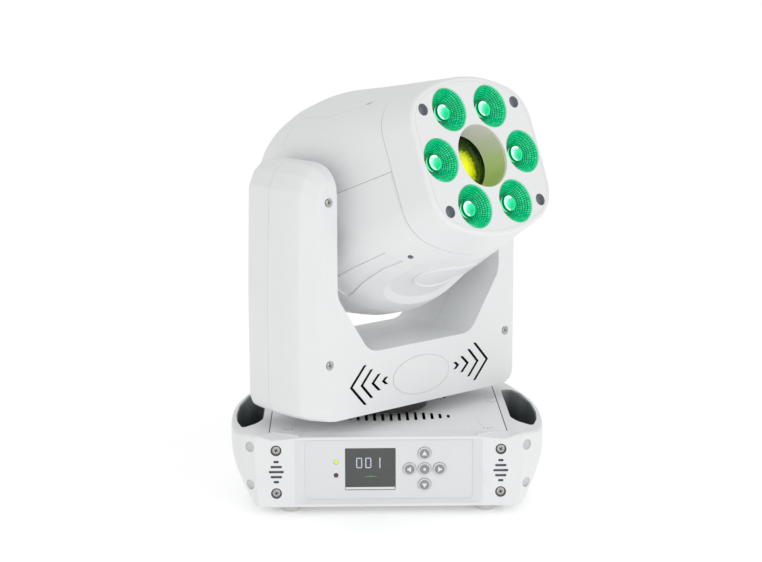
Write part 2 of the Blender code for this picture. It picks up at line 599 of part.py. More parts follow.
def make_tilt_drive(dark, metal, rubber, pan):
    half, z = MOTOR_SIDE / 2, TILT_MOTOR_Z
    inner_face, outer_face = -TILT_BELT_FAR - 1.5, -TILT_MOTOR_OUTER
    motor = add("tilt_motor", block((outer_face, -half, z - half), (inner_face, half, z + half)), dark, pan)
    frame_face = -FRAME_UPRIGHT - FRAME_THICKNESS - GAP
    for near, far in ((-half, 4.0 - half), (half - 4.0, half)):
        arm = block((inner_face - REACH, near, z - half), (frame_face, far, z - half + 8.0))
        boolean(motor, arm, "UNION")
    boolean(motor, disc("x", MOTOR_SHAFT_HOLE, outer_face + 6.0, inner_face + REACH, (0.0, z), 12))
    near, far, shaft_end = -TILT_BELT_NEAR, -TILT_BELT_FAR, outer_face + 7.0
    rim, step = MOTOR_PULLEY_RADIUS + 1.5, far + FLANGE_STEP
    profile = [(0.0, near), (MOTOR_PULLEY_RADIUS, near), (MOTOR_PULLEY_RADIUS, step), (rim, step), (rim, far),
               (SHAFT_RADIUS, far), (SHAFT_RADIUS, shaft_end), (0.0, shaft_end)]
    add("tilt_motor_pulley", turned("x", profile, (0.0, z)), metal, pan, at=(near, 0.0, z))
    run = belt("x", step + GAP, near, TILT_AXIS - z, lambda along, across: (across, TILT_AXIS - along))
    add("tilt_belt", run, rubber, pan)


# ---------------------------------------------------------------- head

def head_quarter(half_width, height):
    """A quarter of a section, from its side to its crown: a straight side, a round corner and a gentle crown."""
    corner = CORNER_SHARE * half_width
    straight = min(STRAIGHT_SHARE * height, 0.9 * height - corner)
    run, rise = half_width - corner, height - straight
    crown = (rise**2 + run**2 - corner**2) / (2 * (rise - corner))
    split = math.atan2(straight - height + crown, run)
    arc = [split * k / 5 for k in range(6)]
    points = [(run + corner * math.cos(t), straight + corner * math.sin(t)) for t in arc]
    arc = [split + (math.pi / 2 - split) * k / 4 for k in range(1, 4)]
    return points + [(crown * math.cos(t), height - crown + crown * math.sin(t)) for t in arc]


def head_section(w):
    """The head's outer section at a distance w along the optical axis."""
    for (w1, *front), (w0, *back) in zip(HEAD_SECTIONS, HEAD_SECTIONS[1:]):
        if w0 <= w <= w1:
            share = (w - w0) / (w1 - w0)
            half_width, above, below = (b + (a - b) * share for a, b in zip(front, back))
            break
    upper = head_quarter(half_width, above)
    lower = [(x, -z) for x, z in head_quarter(half_width, below)]
    return mirrored([(0.0, -below), *reversed(lower), *upper, (0.0, above)])


def head_loft(steps, wall=0.0):
    """A body through the head's sections at the given distances, each with its own extra inset."""
    return loft([[(x, -w, z) for x, z in inset(head_section(at), wall + edge)] for w, at, edge in steps])


def lens_spots():
    turns = [2 * math.pi * k / LENS_COUNT for k in range(LENS_COUNT)]
    return [(LENS_RING * math.cos(t), LENS_RING * math.sin(t)) for t in turns]


def make_bezel(white, tilt):
    outer = [(SEAM_W + GAP, SEAM_W, 0.0), (125.0, 125.0, 0.0), (139.0, 139.0, 0.0), (141.6, 141.6, 1.1),
             (FACE_W, FACE_W, 3.4)]
    bezel = add("head_front_bezel", head_loft(outer), white, tilt)
    inner = [(SEAM_W - 1.0, SEAM_W, 0.0), (125.0, 125.0, 0.0), (139.3, 139.3, 0.0)]
    boolean(bezel, head_loft(inner, HEAD_WALL))
    back, front = 130.0, 150.0
    holes = [disc("w", LENS_RADIUS + 0.4, back, front, spot, 24) for spot in lens_spots()]
    holes.append(disc("w", TUNNEL_RADIUS, back, front, steps=24))
    corners = [(x * FACE_HOLE[0], z * FACE_HOLE[1]) for x in (-1, 1) for z in (-1, 1)]
    holes += [disc("w", FACE_HOLE_RADIUS, back, front, corner) for corner in corners]
    boolean(bezel, together(*holes))


def make_head_shells(white, tilt):
    distances = (SEAM_W, 101.0, 75.0, 50.0, 25.0, 5.0, -15.0, -38.0, -60.0, -80.0, -98.0, -112.0, -122.0)
    outer = [(w, w, 0.0) for w in distances]
    hollow = [(SEAM_W + 1.0, SEAM_W, 0.0), *outer[1:-1], (-119.0, -121.0, 0.0)]
    far = 200.0
    for word, side in (("top", 1), ("bottom", -1)):
        shell = add(f"head_{word}_shell", head_loft(outer), white, tilt)
        boolean(shell, head_loft(hollow, HEAD_WALL))
        low, high = sorted((SHELL_SEAM_V + side * GAP / 2, -side * far))
        boolean(shell, block((-far, -far, low), (far, far, high)))
        axle_holes = [disc("x", AXLE_RADIUS + 2.0, *sorted((x * 80.0, x * 110.0))) for x in (-1, 1)]
        boolean(shell, together(*axle_holes))
        vents = [block((-34.0, 90.0, side * v - 2.0), (34.0, 140.0, side * v + 2.0)) for v in HEAD_VENTS_V]
        boolean(shell, together(*vents))


def make_optics(dark, board, lens_green, lens_dark, tilt):
    profile = [(0.0, 140.6), (12.0, 141.3), (19.0, 141.6), (LENS_RADIUS, 140.8), (LENS_RADIUS, 138.6),
               (21.2, 138.6), (21.2, 135.5), (8.0, 119.0), (0.0, 119.0)]
    for number, spot in enumerate(lens_spots(), 1):
        add(f"wash_lens_{number}", turned("w", profile, spot, 18), lens_green, tilt)
    add("wash_led_board", ring("w", 36.5, 72.0, 116.0, 118.0, steps=24), board, tilt)
    tube = ring("w", TUNNEL_RADIUS, TUNNEL_RADIUS + 1.6, TUNNEL_REAR_W, 139.0, steps=24)
    add("lens_tunnel", tube, dark, tilt)
    lens = [(0.0, 111.5), (12.0, 110.6), (22.0, 107.8), (26.5, 105.0), (28.0, 105.0), (28.0, 107.0), (34.0, 107.0),
            (34.0, 100.0), (24.0, 100.0), (12.0, 98.0), (0.0, 97.0)]
    add("focus_lens", turned("w", lens, steps=24), lens_dark, tilt)
    engine = [(0.0, 13.4), (16.5, 13.4), (16.5, 20.0), (15.0, 20.0), (13.0, 50.0), (10.0, 56.0), (0.0, 58.0)]
    add("led_engine", turned("w", engine), dark, tilt)


def make_chassis(metal, tilt):
    side, sheet = CHASSIS_SIDE, 2.0
    rear, front, web = 60.0, -45.0, -14.0
    h_shape = [(-side - sheet, rear), (-side, rear), (-side, web), (side, web), (side, rear), (side + sheet, rear),
               (side + sheet, front), (side, front), (side, web - sheet), (-side, web - sheet), (-side, front),
               (-side - sheet, front)]
    chassis = add("head_chassis", prism("z", h_shape, -34.0, 34.0), metal, tilt)
    axle_holes = [disc("x", AXLE_RADIUS + GAP, *sorted((x * 80.0, x * 95.0))) for x in (-1, 1)]
    boolean(chassis, together(disc("w", 17.0, 0.0, 30.0), *axle_holes))
    bore, collar, collar_near, collar_far = 5.0, 14.0, 80.0, side - GAP
    for sign, word, end in ((-1, "left", TILT_BELT_FAR + 1.0), (1, "right", 118.0)):
        axle = [(bore, collar_near), (collar, collar_near), (collar, collar_far), (AXLE_RADIUS, collar_far),
                (AXLE_RADIUS, end), (bore, end)]
        add(f"tilt_axle_{word}", turned("x", [(radius, sign * x) for radius, x in axle]), metal, tilt)
    far, near, step = -TILT_BELT_FAR, -TILT_BELT_NEAR, -TILT_BELT_FAR + FLANGE_STEP
    rim, seat = PULLEY_RADIUS + 2.0, AXLE_RADIUS + GAP
    wheel = [(seat, far), (rim, far), (rim, step), (PULLEY_RADIUS, step), (PULLEY_RADIUS, near), (seat, near)]
    add("tilt_pulley", turned("x", wheel, steps=24), metal, tilt)


def make_heat_sink(metal, tilt):
    fins, pitch, fin = 10, 9.0, 2.4
    base_front, base_back, fin_end, half_width = -13.0, 4.0, 62.0, 46.0
    comb = [(-half_width, base_front), (-half_width, base_back)]
    for k in range(fins):
        x = (k - (fins - 1) / 2) * pitch
        comb += [(x - fin / 2, base_back), (x - fin / 2, fin_end), (x + fin / 2, fin_end), (x + fin / 2, base_back)]
    comb += [(half_width, base_back), (half_width, base_front)]
    add("heat_sink", prism("z", comb, -42.0, 42.0), metal, tilt)


def make_wheels(dark, metal, glass, tilt):
    outer, sheet, front, back = 81.0, 2.0, -66.0, -20.0
    inner = outer - sheet
    u_shape = [(-outer, front), (outer, front), (outer, back), (inner, back), (inner, front + sheet),
               (-inner, front + sheet), (-inner, back), (-outer, back)]
    plate = add("wheel_plate", prism("z", u_shape, -48.0, 48.0), metal, tilt)
    shaft_holes = [disc("w", MOTOR_SHAFT_HOLE, 60.0, 70.0, (0.0, v * WHEEL_OFFSET), 12) for v in (-1, 1)]
    boolean(plate, together(disc("w", 14.0, 60.0, 70.0), *shaft_holes))
    make_wheel("gobo", -1, (68.0, 69.5), (63.7, 42.0), metal, dark, tilt)
    make_wheel("colour", 1, (62.0, 60.5), (66.3, 86.0), glass, dark, tilt)


def make_wheel(word, side, faces, case, finish, dark, tilt):
    """A wheel of holes and its motor. faces and case are (near, far) distances along the optical axis, and side
    says whether the wheel's shaft is above the optical axis or below it."""
    centre = (0.0, side * WHEEL_OFFSET)
    toward = 1 if case[1] > case[0] else -1  # the motor's direction, seen from the wheel
    low, high = sorted(faces)
    front, back = (low, high) if toward > 0 else (high, low)
    shaft_end = case[0] + toward * 8.0
    shaft = 2.4
    profile = [(0.0, front), (WHEEL_RADIUS, front), (WHEEL_RADIUS, back), (shaft, back), (shaft, shaft_end),
               (0.0, shaft_end)]
    origin = (0.0, -faces[0], centre[1])
    wheel = add(f"{word}_wheel", turned("w", profile, centre, 24), finish, tilt, at=origin)
    ports = []
    for k in range(WHEEL_HOLES):
        turn = 2 * math.pi * k / WHEEL_HOLES
        spot = (WHEEL_OFFSET * math.sin(turn), centre[1] - side * WHEEL_OFFSET * math.cos(turn))
        ports.append(disc("w", WHEEL_HOLE_RADIUS, low - 1, high + 1, spot, 12))
    boolean(wheel, together(*ports))
    motor = add(f"{word}_motor", disc("w", 14.0, *sorted(case), centre), dark, tilt)
    mouth = sorted((case[0] - toward * 1.0, case[0] + toward * 12.0))
    boolean(motor, disc("w", MOTOR_SHAFT_HOLE, *mouth, centre, 12))


def make_fan(dark, tilt):
    outline = []
    for k in range(FAN_BLADES):
        start = 2 * math.pi * k / FAN_BLADES
        corners = ((FAN_HUB_RADIUS, 0.0), (FAN_RADIUS, 0.32), (FAN_RADIUS, 0.80), (FAN_HUB_RADIUS, 0.55))
        outline += [(radius * math.cos(start + turn), radius * math.sin(start + turn)) for radius, turn in corners]
    rotor = prism("w", outline, FAN_REAR, FAN_FRONT)
    add("fan_rotor", rotor, dark, tilt, at=(0.0, -(FAN_REAR + FAN_FRONT) / 2, 0.0))


def main():
    clear_scene()
    white = material("white_plastic", (0.86, 0.87, 0.87), 0.42)
    grey = material("grey_panel", (0.62, 0.63, 0.66), 0.38)
    dark = material("black_plastic", (0.03, 0.03, 0.035), 0.45)
    metal = material("zinc_steel", (0.55, 0.56, 0.58), 0.35, 1.0)
    belt_rubber = material("belt_rubber", (0.045, 0.045, 0.045), 0.8)
    foot_rubber = material("foot_rubber", (0.62, 0.62, 0.60), 0.7)
    board = material("circuit_board", (0.02, 0.16, 0.07), 0.5)
    glass = material("clear_window", (0.1, 0.11, 0.12), 0.1, alpha=0.6)
    lens_green = material("wash_lens", (0.15, 0.8, 0.45), 0.12)
    lens_dark = material("spot_lens", (0.04, 0.05, 0.03), 0.08)

    make_housing(white)
    make_base_plates(white, metal)
    make_menu_panel(grey, dark, board, glass)
    make_feet(foot_rubber)
    make_base_insides(dark, metal)

    pan = pivot("pan_pivot", (0.0, 0.0, 0.0), turn=(0.0, 0.0, PAN))
    make_yoke_covers(white, pan)
    make_yoke_frame(dark, metal, pan)
    make_pan_drive(dark, metal, belt_rubber, pan)
    make_tilt_drive(dark, metal, belt_rubber, pan)

    tilt = pivot("tilt_pivot", (0.0, 0.0, TILT_AXIS), pan, (-TILT, 0.0, 0.0))
    make_bezel(white, tilt)
    make_head_shells(white, tilt)
    make_optics(dark, board, lens_green, lens_dark, tilt)
    make_chassis(metal, tilt)
    make_heat_sink(metal, tilt)
    make_wheels(dark, metal, glass, tilt)
    make_fan(dark, tilt)


main()
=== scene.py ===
"""The looks of a small moving head light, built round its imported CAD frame.

Lengths below are in millimetres and angles in degrees; every mesh is scaled to metres when it is put in place.
Base pieces are drawn in the object's own frame: front towards -Y, +Z up, the pan axis at x = y = 0.
Yoke pieces are drawn as the yoke stands at pan 0, with x along the tilt axis.
Head pieces are drawn about the tilt axis with the light shining towards -Y: "w" is the distance forward along
the optical axis, so y = -w, and z is the height above that axis.
"""

import json
import math
import random

import bmesh
import bpy
from mathutils import Matrix, Vector


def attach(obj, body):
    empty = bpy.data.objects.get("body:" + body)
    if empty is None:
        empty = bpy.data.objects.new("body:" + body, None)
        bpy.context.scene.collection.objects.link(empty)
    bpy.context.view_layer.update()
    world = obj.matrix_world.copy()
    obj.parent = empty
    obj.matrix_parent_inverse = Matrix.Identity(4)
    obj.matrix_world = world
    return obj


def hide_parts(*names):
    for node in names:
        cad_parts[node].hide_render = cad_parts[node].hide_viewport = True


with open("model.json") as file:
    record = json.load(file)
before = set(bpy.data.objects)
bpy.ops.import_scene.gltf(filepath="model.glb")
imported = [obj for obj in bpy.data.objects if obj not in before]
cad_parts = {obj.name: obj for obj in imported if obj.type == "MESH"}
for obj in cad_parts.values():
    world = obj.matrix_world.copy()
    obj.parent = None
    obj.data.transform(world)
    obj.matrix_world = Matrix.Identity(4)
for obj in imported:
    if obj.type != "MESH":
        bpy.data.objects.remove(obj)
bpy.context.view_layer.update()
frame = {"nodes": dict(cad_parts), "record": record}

MM = 0.001
GAP = 0.3  # air between two touching pieces
CREASE = 34.0  # an edge that turns by more stays sharp in the shading
REACH = 1.5  # how far a cutter runs past the faces that it cuts
FAR = 200.0  # past the end of every piece that is cut

# Rest pose and the frames that pieces are drawn in
PAN, TILT = 41.26, 21.69
TILT_AXIS = 279.68
BASE = Matrix.Identity(4)
YOKE = Matrix.Rotation(math.radians(PAN), 4, "Z")
HEAD = YOKE @ Matrix.Translation((0.0, 0.0, TILT_AXIS)) @ Matrix.Rotation(math.radians(-TILT), 4, "X")

# Base
BASE_FRONT, BASE_REAR, BASE_TOP = -106.7, 107.0, 70.2
CAVITY_HALF_WIDTH, CAVITY_FRONT, CAVITY_REAR = 109.0, -90.0, 101.0
PLATE_HALF_WIDTH, PLATE_FRONT, PLATE_REAR, PLATE_THICKNESS = 112.1, -93.6, 98.7, 2.2
PANEL_FACE, PANEL_THICKNESS = -103.8, 2.0
DISPLAY = (-41.0, 6.6, 15.6, 56.4)  # left, right, low, high
STATUS_LIGHTS = {"signal": (-49.6, 42.9), "error": (-49.6, 30.2)}
BUTTONS = {
    "ok": (34.0, 35.8), "left": (19.8, 35.8), "right": (48.2, 35.8), "up": (34.0, 50.9), "down": (34.0, 20.6),
}
PAD_X = 105.9
PAD_SCREWS_Z = (13.8, 55.4)
PAD_SLITS = ((25.0, 5.2), (29.9, 10.8), (34.8, 14.2), (39.7, 10.8), (44.6, 5.2))  # height, length
FOOT_X, FOOT_Y, FOOT_RADIUS, FOOT_BOTTOM = 93.1, 84.2, 10.0, -9.0

# Yoke
YOKE_HALF_DEPTH, YOKE_BOTTOM, YOKE_SILL = 51.0, 84.3, 144.3
YOKE_FRONT = -YOKE_HALF_DEPTH
YOKE_INNER, YOKE_OUTER, YOKE_CROWN = 107.0, 149.5, 326.5
WALL = 3.0
# The share of the way from the yoke's front outline to its middle one, by the depth behind the front face
SIDE_SHARE = ((0.0, 0.0), (14.0, 0.68), (20.7, 0.80), (35.0, 0.95), (YOKE_HALF_DEPTH, 1.0))
# tip x, end x, half height
CHEVRONS = ((92.8, 75.0, 19.2), (79.3, 66.6, 13.9), (65.5, 57.0, 8.1), (52.0, 47.8, 3.6))
CHEVRON_Z, CHEVRON_WIDTH = 113.5, 2.6
YOKE_SCREWS = [(side * 117.1, z) for side in (-1, 1) for z in (139.0, 291.4)]
BADGE_Z, BADGE_HALF_WIDTH, BADGE_HALF_HEIGHT = 112.4, 37.0, 18.7

# Head
FACE_W, SEAM_W, SHELL_SEAM_V, HEAD_WALL = 142.66, 106.0, 2.5, 2.6
LENS_RING, LENS_RADIUS, LENS_COUNT = 53.2, 20.5, 6
TUNNEL_RADIUS = 30.0
FACE_HOLES = [(x * 59.1, z * 48.0) for x in (-1, 1) for z in (-1, 1)]
REAR_VENTS = (18.0, 28.0, 38.0, 48.0)  # height of each slot above the optical axis, and depth below it
CORNER_SHARE, STRAIGHT_SHARE = 0.487, 0.39
# w, half width, height above the optical axis, depth below it
HEAD_SECTIONS = (
    (FACE_W, 78.0, 76.3, 75.3), (101.0, 82.5, 86.0, 85.5), (50.0, 91.0, 98.0, 97.0), (25.0, 94.5, 104.5, 101.5),
    (5.0, 97.0, 109.5, 108.5), (-12.0, 98.0, 112.0, 111.0), (-38.0, 98.0, 112.5, 108.0), (-60.0, 94.5, 109.5, 101.0),
    (-80.0, 86.0, 99.0, 89.0), (-98.0, 74.0, 81.5, 73.0), (-112.0, 56.0, 61.0, 55.0), (-122.0, 36.0, 38.0, 35.0),
)
# Fine lines on the head's right half, as (angle round the optical axis, w)
# ---------------------------------------------------------------- materials

def node(tree, kind, **values):
    made = tree.nodes.new(kind)
    for name, value in values.items():
        if hasattr(made, name):
            setattr(made, name, value)
        else:
            made.inputs[name.replace("_", " ")].default_value = value
    return made


def finish(name, colour, roughness, metallic=0.0, grain=900.0, bump=0.05, mottle=0.02, rough_range=0.06, **more):
    """A material whose colour and roughness vary a little over the surface, with a fine moulded or brushed grain.

    grain is the noise's scale in cycles per metre, bump its strength and mottle the share that the colour varies by.
    more holds further values of the shader, by the name of their socket.
    """
    made = bpy.data.materials.new(name)
    made.use_nodes = True
    tree = made.node_tree
    shader = tree.nodes["Principled BSDF"]
    shader.inputs["Metallic"].default_value = metallic
    for socket, value in more.items():
        shader.inputs[socket.replace("_", " ")].default_value = value
    spot = node(tree, "ShaderNodeTexCoord")
    cloud = node(tree, "ShaderNodeTexNoise", Scale=22.0, Detail=3.0, Roughness=0.5)
    tree.links.new(spot.outputs["Object"], cloud.inputs["Vector"])
    tint = node(tree, "ShaderNodeValToRGB")
    tint.color_ramp.elements[0].position = 0.3
    tint.color_ramp.elements[1].position = 0.7
    for element, share in zip(tint.color_ramp.elements, (1.0 - mottle, 1.0 + mottle)):
        element.color = (*[min(1.0, part * share) for part in colour], 1.0)
    tree.links.new(cloud.outputs["Fac"], tint.inputs["Fac"])
    tree.links.new(tint.outputs["Color"], shader.inputs["Base Color"])
    speckle = node(tree, "ShaderNodeTexNoise", Scale=grain, Detail=2.0, Roughness=0.6)
    tree.links.new(spot.outputs["Object"], speckle.inputs["Vector"])
    spread = node(tree, "ShaderNodeMapRange")
    spread.inputs["To Min"].default_value = roughness - rough_range
    spread.inputs["To Max"].default_value = roughness + rough_range
    tree.links.new(speckle.outputs["Fac"], spread.inputs["Value"])
    tree.links.new(spread.outputs["Result"], shader.inputs["Roughness"])
    relief = node(tree, "ShaderNodeBump", Strength=bump, Distance=0.0004)
    tree.links.new(speckle.outputs["Fac"], relief.inputs["Height"])
    tree.links.new(relief.outputs["Normal"], shader.inputs["Normal"])
    return made


def brushed(name, colour, roughness):
    """A metal whose noise is drawn out along one direction, as brushing or rolling leaves it."""
    made = finish(name, colour, roughness, 1.0, grain=500.0, bump=0.12, mottle=0.06)
    tree = made.node_tree
    spot = next(n for n in tree.nodes if n.bl_idname == "ShaderNodeTexCoord")
    stretch = node(tree, "ShaderNodeMapping")
    stretch.inputs["Scale"].default_value = (0.06, 1.0, 1.0)
    tree.links.new(spot.outputs["Object"], stretch.inputs["Vector"])
    for noise in [n for n in tree.nodes if n.bl_idname == "ShaderNodeTexNoise"]:
        tree.links.new(stretch.outputs["Vector"], noise.inputs["Vector"])
    return made


def by_attribute(name, attribute, stops, roughness, glow, speckle=None, **more):
    """A material whose colour runs along a value stored on the mesh. glow is the strength of its own light, and
    speckle the (scale, share) of a crystalline pattern that shifts the value."""
    made = finish(name, (0.5, 0.5, 0.5), roughness, bump=0.03, **more)
    tree = made.node_tree
    shader = tree.nodes["Principled BSDF"]
    value = node(tree, "ShaderNodeAttribute", attribute_name=attribute)
    ramp = node(tree, "ShaderNodeValToRGB")
    ramp.color_ramp.interpolation = "EASE"
    for position, colour in stops[2:]:
        ramp.color_ramp.elements.new(position)
    for element, (position, colour) in zip(ramp.color_ramp.elements, stops):
        element.position = position
        element.color = (*colour, 1.0)
    source = value.outputs["Fac"]
    if speckle:
        scale, share = speckle
        spot = next(n for n in tree.nodes if n.bl_idname == "ShaderNodeTexCoord")
        cells = node(tree, "ShaderNodeTexVoronoi", Scale=scale)
        tree.links.new(spot.outputs["Object"], cells.inputs["Vector"])
        shift = node(tree, "ShaderNodeMath", operation="MULTIPLY_ADD")
        shift.inputs[1].default_value = share
        tree.links.new(cells.outputs["Color"], shift.inputs[0])
        tree.links.new(source, shift.inputs[2])
        source = shift.outputs["Value"]
    tree.links.new(source, ramp.inputs["Fac"])
    tree.links.new(ramp.outputs["Color"], shader.inputs["Base Color"])
    if glow:
        tree.links.new(ramp.outputs["Color"], shader.inputs["Emission Color"])
        shader.inputs["Emission Strength"].default_value = glow
    return made


def glowing(name, colour, glow, roughness=0.12):
    """Clear coloured plastic with a painted glow, which stands in for the light that shines through it."""
    return finish(name, colour, roughness, grain=700.0, bump=0.05, mottle=0.12, rough_range=0.04,
                  Emission_Color=(*colour, 1.0), Emission_Strength=glow, Coat_Weight=0.6)


WHITE = finish("white_plastic", (0.79, 0.803, 0.807), 0.40, grain=1100.0, bump=0.05, mottle=0.008)
COATED = finish("white_metal", (0.86, 0.87, 0.875), 0.46, grain=650.0, bump=0.10, mottle=0.01)
PANEL = finish("panel_grey", (0.73, 0.745, 0.76), 0.36, grain=1600.0, bump=0.03, mottle=0.008)
GLASS = finish("display_glass", (0.055, 0.058, 0.057), 0.10, grain=300.0, bump=0.01, mottle=0.05,
               rough_range=0.02, Coat_Weight=0.5)
INK = finish("display_ink", (0.62, 0.68, 0.78), 0.35, grain=900.0, bump=0.02,
             Emission_Color=(0.5, 0.57, 0.68, 1.0), Emission_Strength=0.12)
INK_GREEN = finish("display_ink_green", (0.12, 0.36, 0.14), 0.35, grain=900.0, bump=0.02)
PLUG_GREY = finish("plug_grey", (0.58, 0.59, 0.60), 0.42, grain=1300.0, bump=0.05)
KEY_GREY = finish("key_grey", (0.27, 0.275, 0.285), 0.38, grain=1500.0, bump=0.04)
BLACK = finish("black_plastic", (0.018, 0.019, 0.020), 0.42, grain=800.0, bump=0.12, mottle=0.2)
# Painted shade: near black on the cut walls of hollows, slots and holes, where shade falls inside them
INSIDE_SHADE = finish("inner_painted_shade", (0.010, 0.011, 0.012), 0.75, grain=500.0, bump=0.05, mottle=0.2)
# Painted shade: a dark grey on the walls and floors of small holes, slits, pits and sinks
HOLE_SHADE = finish("hole_painted_shade", (0.27, 0.29, 0.33), 0.40, grain=700.0, bump=0.05, mottle=0.1)
RUBBER = finish("foot_rubber", (0.60, 0.60, 0.585), 0.62, grain=1300.0, bump=0.18, mottle=0.03)
BELT = finish("belt_rubber", (0.02, 0.02, 0.02), 0.8, grain=1500.0, bump=0.3, mottle=0.2)
BOARD = finish("circuit_board", (0.02, 0.13, 0.06), 0.35, grain=260.0, bump=0.08, mottle=0.3)
PAINTED = finish("black_metal", (0.028, 0.029, 0.031), 0.38, grain=900.0, bump=0.16, mottle=0.15)
STEEL = brushed("steel", (0.56, 0.56, 0.55), 0.30)
SCREW = brushed("screw_steel", (0.46, 0.45, 0.43), 0.28)
ALUMINIUM = brushed("aluminium", (0.70, 0.71, 0.72), 0.36)
FILTER = finish("filter_glass", (0.75, 0.62, 0.15), 0.08, grain=60.0, bump=0.02, mottle=0.5)
LIT = finish("status_light_lit", (0.55, 0.85, 0.05), 0.2, grain=900.0, bump=0.03, mottle=0.1,
             Emission_Color=(0.45, 0.75, 0.03, 1.0), Emission_Strength=0.55)
UNLIT = finish("status_light_dark", (0.10, 0.055, 0.06), 0.2, grain=900.0, bump=0.03, mottle=0.2)

# Painted glow on the wash lenses' rims and seats
LENS_LIGHT = glowing("lens_light", (0.08, 0.62, 0.30), 0.30)
LENS_DEEP = glowing("lens_deep", (0.001, 0.16, 0.075), 0.16)
# The wash lenses: their own green with dark joints and a random spread of tone, plus painted highlights, painted shade
# and a painted glow
FACETS = by_attribute("lens_facets", "tone", (
    (0.0, (0.0, 0.020, 0.010)), (0.22, (0.0, 0.09, 0.035)), (0.42, (0.0, 0.27, 0.10)), (0.60, (0.0, 0.50, 0.19)),
    (0.76, (0.02, 0.68, 0.32)), (0.88, (0.34, 0.86, 0.60)), (1.0, (0.82, 1.0, 0.92))), 0.14, 0.46,
    Coat_Weight=0.2, Specular_IOR_Level=0.25)
# Painted shade in the hand-holes: their walls are darker further down and lighter at the rear
POCKET_SHADE = by_attribute("hand_hole_painted_shade", "depth", (
    (0.0, (0.05, 0.062, 0.064)), (0.55, (0.10, 0.118, 0.124)), (1.0, (0.32, 0.34, 0.345))), 0.36, 0.0)
# Painted light on the tunnel wall: light grey at the top, greener and darker lower down and to the right, with a
# painted glow
TUNNEL_PAINTED_LIGHT = by_attribute("tunnel_wall_painted_light", "tint", (
    (0.0, (0.54, 0.55, 0.54)), (0.35, (0.45, 0.50, 0.40)), (0.65, (0.38, 0.50, 0.23)), (1.0, (0.30, 0.43, 0.14))),
    0.45, 0.24)
# Painted light on the spot lens: a glowing yellow pool a little off its centre that fades to dark at its edge
SPOT_PAINTED_GLOW = by_attribute("spot_lens", "reach", (
    (0.0, (0.78, 0.74, 0.0)), (0.30, (0.56, 0.58, 0.003)), (0.52, (0.36, 0.42, 0.005)),
    (0.66, (0.03, 0.055, 0.006)), (1.0, (0.005, 0.010, 0.005))), 0.08, 0.95, speckle=(620.0, 0.22), Coat_Weight=1.0)

BY_SLOT = {
    "white_plastic": WHITE, "white_metal": COATED, "panel_grey": PANEL, "display": GLASS, "black_plastic": BLACK,
    "black_metal": PAINTED, "circuit_board": BOARD, "steel": STEEL, "aluminium": ALUMINIUM, "foot_rubber": RUBBER,
    "belt_rubber": BELT, "button_grey": KEY_GREY, "wash_lens": LENS_LIGHT, "spot_lens": SPOT_PAINTED_GLOW, "filter_glass": FILTER,
    "tunnel_grey": TUNNEL_PAINTED_LIGHT,
}


# ---------------------------------------------------------------- mesh building

def place(axis, a, b, height):
    """A point from two coordinates across an axis and one along it. Axis w is the optical axis, -Y."""
    return {"x": (height, a, b), "y": (a, height, b), "w": (a, -height, b), "z": (a, b, height)}[axis]


def bridge(shape, rows):
    """Faces between each row of vertices and the next. A row may repeat one vertex, which gives triangles."""
    for lower, upper in zip(rows, rows[1:]):
        for i in range(len(lower)):
            j = (i + 1) % len(lower)
            corners = list(dict.fromkeys((lower[i], lower[j], upper[j], upper[i])))
            if len(corners) > 2:
                shape.faces.new(corners)


def loft(loops):
    """A closed body through loops of points, with a flat cap on the first and the last."""
    shape = bmesh.new()
    rows = [[shape.verts.new(point) for point in loop] for loop in loops]
    bridge(shape, rows)
    shape.faces.new(rows[0])
    shape.faces.new(rows[-1])
    return shape


def levels_in_plan(levels):
    """A body through outlines of (x, y) points, each at its height z."""
    return loft([[(x, y, z) for x, y in outline] for z, outline in levels])


def levels_in_front(levels):
    """A body through outlines of (x, z) points, each at its distance y."""
    return loft([[(x, y, z) for x, z in outline] for y, outline in levels])


def prism(axis, outline, low, high):
    return loft([[place(axis, a, b, height) for a, b in outline] for height in (low, high)])


def block(low, high):
    (x0, y0, z0), (x1, y1, z1) = low, high
    return prism("z", [(x0, y0), (x1, y0), (x1, y1), (x0, y1)], z0, z1)


def circle(radius, steps, centre=(0.0, 0.0)):
    turns = [2 * math.pi * i / steps for i in range(steps)]
    return [(centre[0] + radius * math.cos(t), centre[1] + radius * math.sin(t)) for t in turns]


def disc(axis, radius, low, high, centre=(0.0, 0.0), steps=48):
    return prism(axis, circle(radius, steps, centre), low, high)


def turned(axis, profile, centre=(0.0, 0.0), steps=64):
    """A body of revolution from a closed profile of (radius, height). A radius of 0 makes a point on the axis."""
    shape = bmesh.new()
    rows = []
    for radius, height in profile:
        if radius == 0:
            rows.append([shape.verts.new(place(axis, *centre, height))] * steps)
        else:
            rows.append([shape.verts.new(place(axis, a, b, height)) for a, b in circle(radius, steps, centre)])
    bridge(shape, rows + rows[:1])
    return shape


def band(outer, inner, low, high):
    """A closed ring along the optical axis between two outlines that have the same number of points."""
    shape = bmesh.new()
    rows = []
    for outline, height in ((outer, low), (outer, high), (inner, high), (inner, low)):
        rows.append([shape.verts.new(place("w", a, b, height)) for a, b in outline])
    bridge(shape, rows + rows[:1])
    return shape


def hull(points):
    shape = bmesh.new()
    bmesh.ops.convex_hull(shape, input=[shape.verts.new(point) for point in points])
    return shape


def together(*shapes):
    """Several closed bodies in one bmesh."""
    whole = bmesh.new()
    for shape in shapes:
        mesh = bpy.data.meshes.new("part_of_shape")
        shape.to_mesh(mesh)
        shape.free()
        whole.from_mesh(mesh)
        bpy.data.meshes.remove(mesh)
    return whole


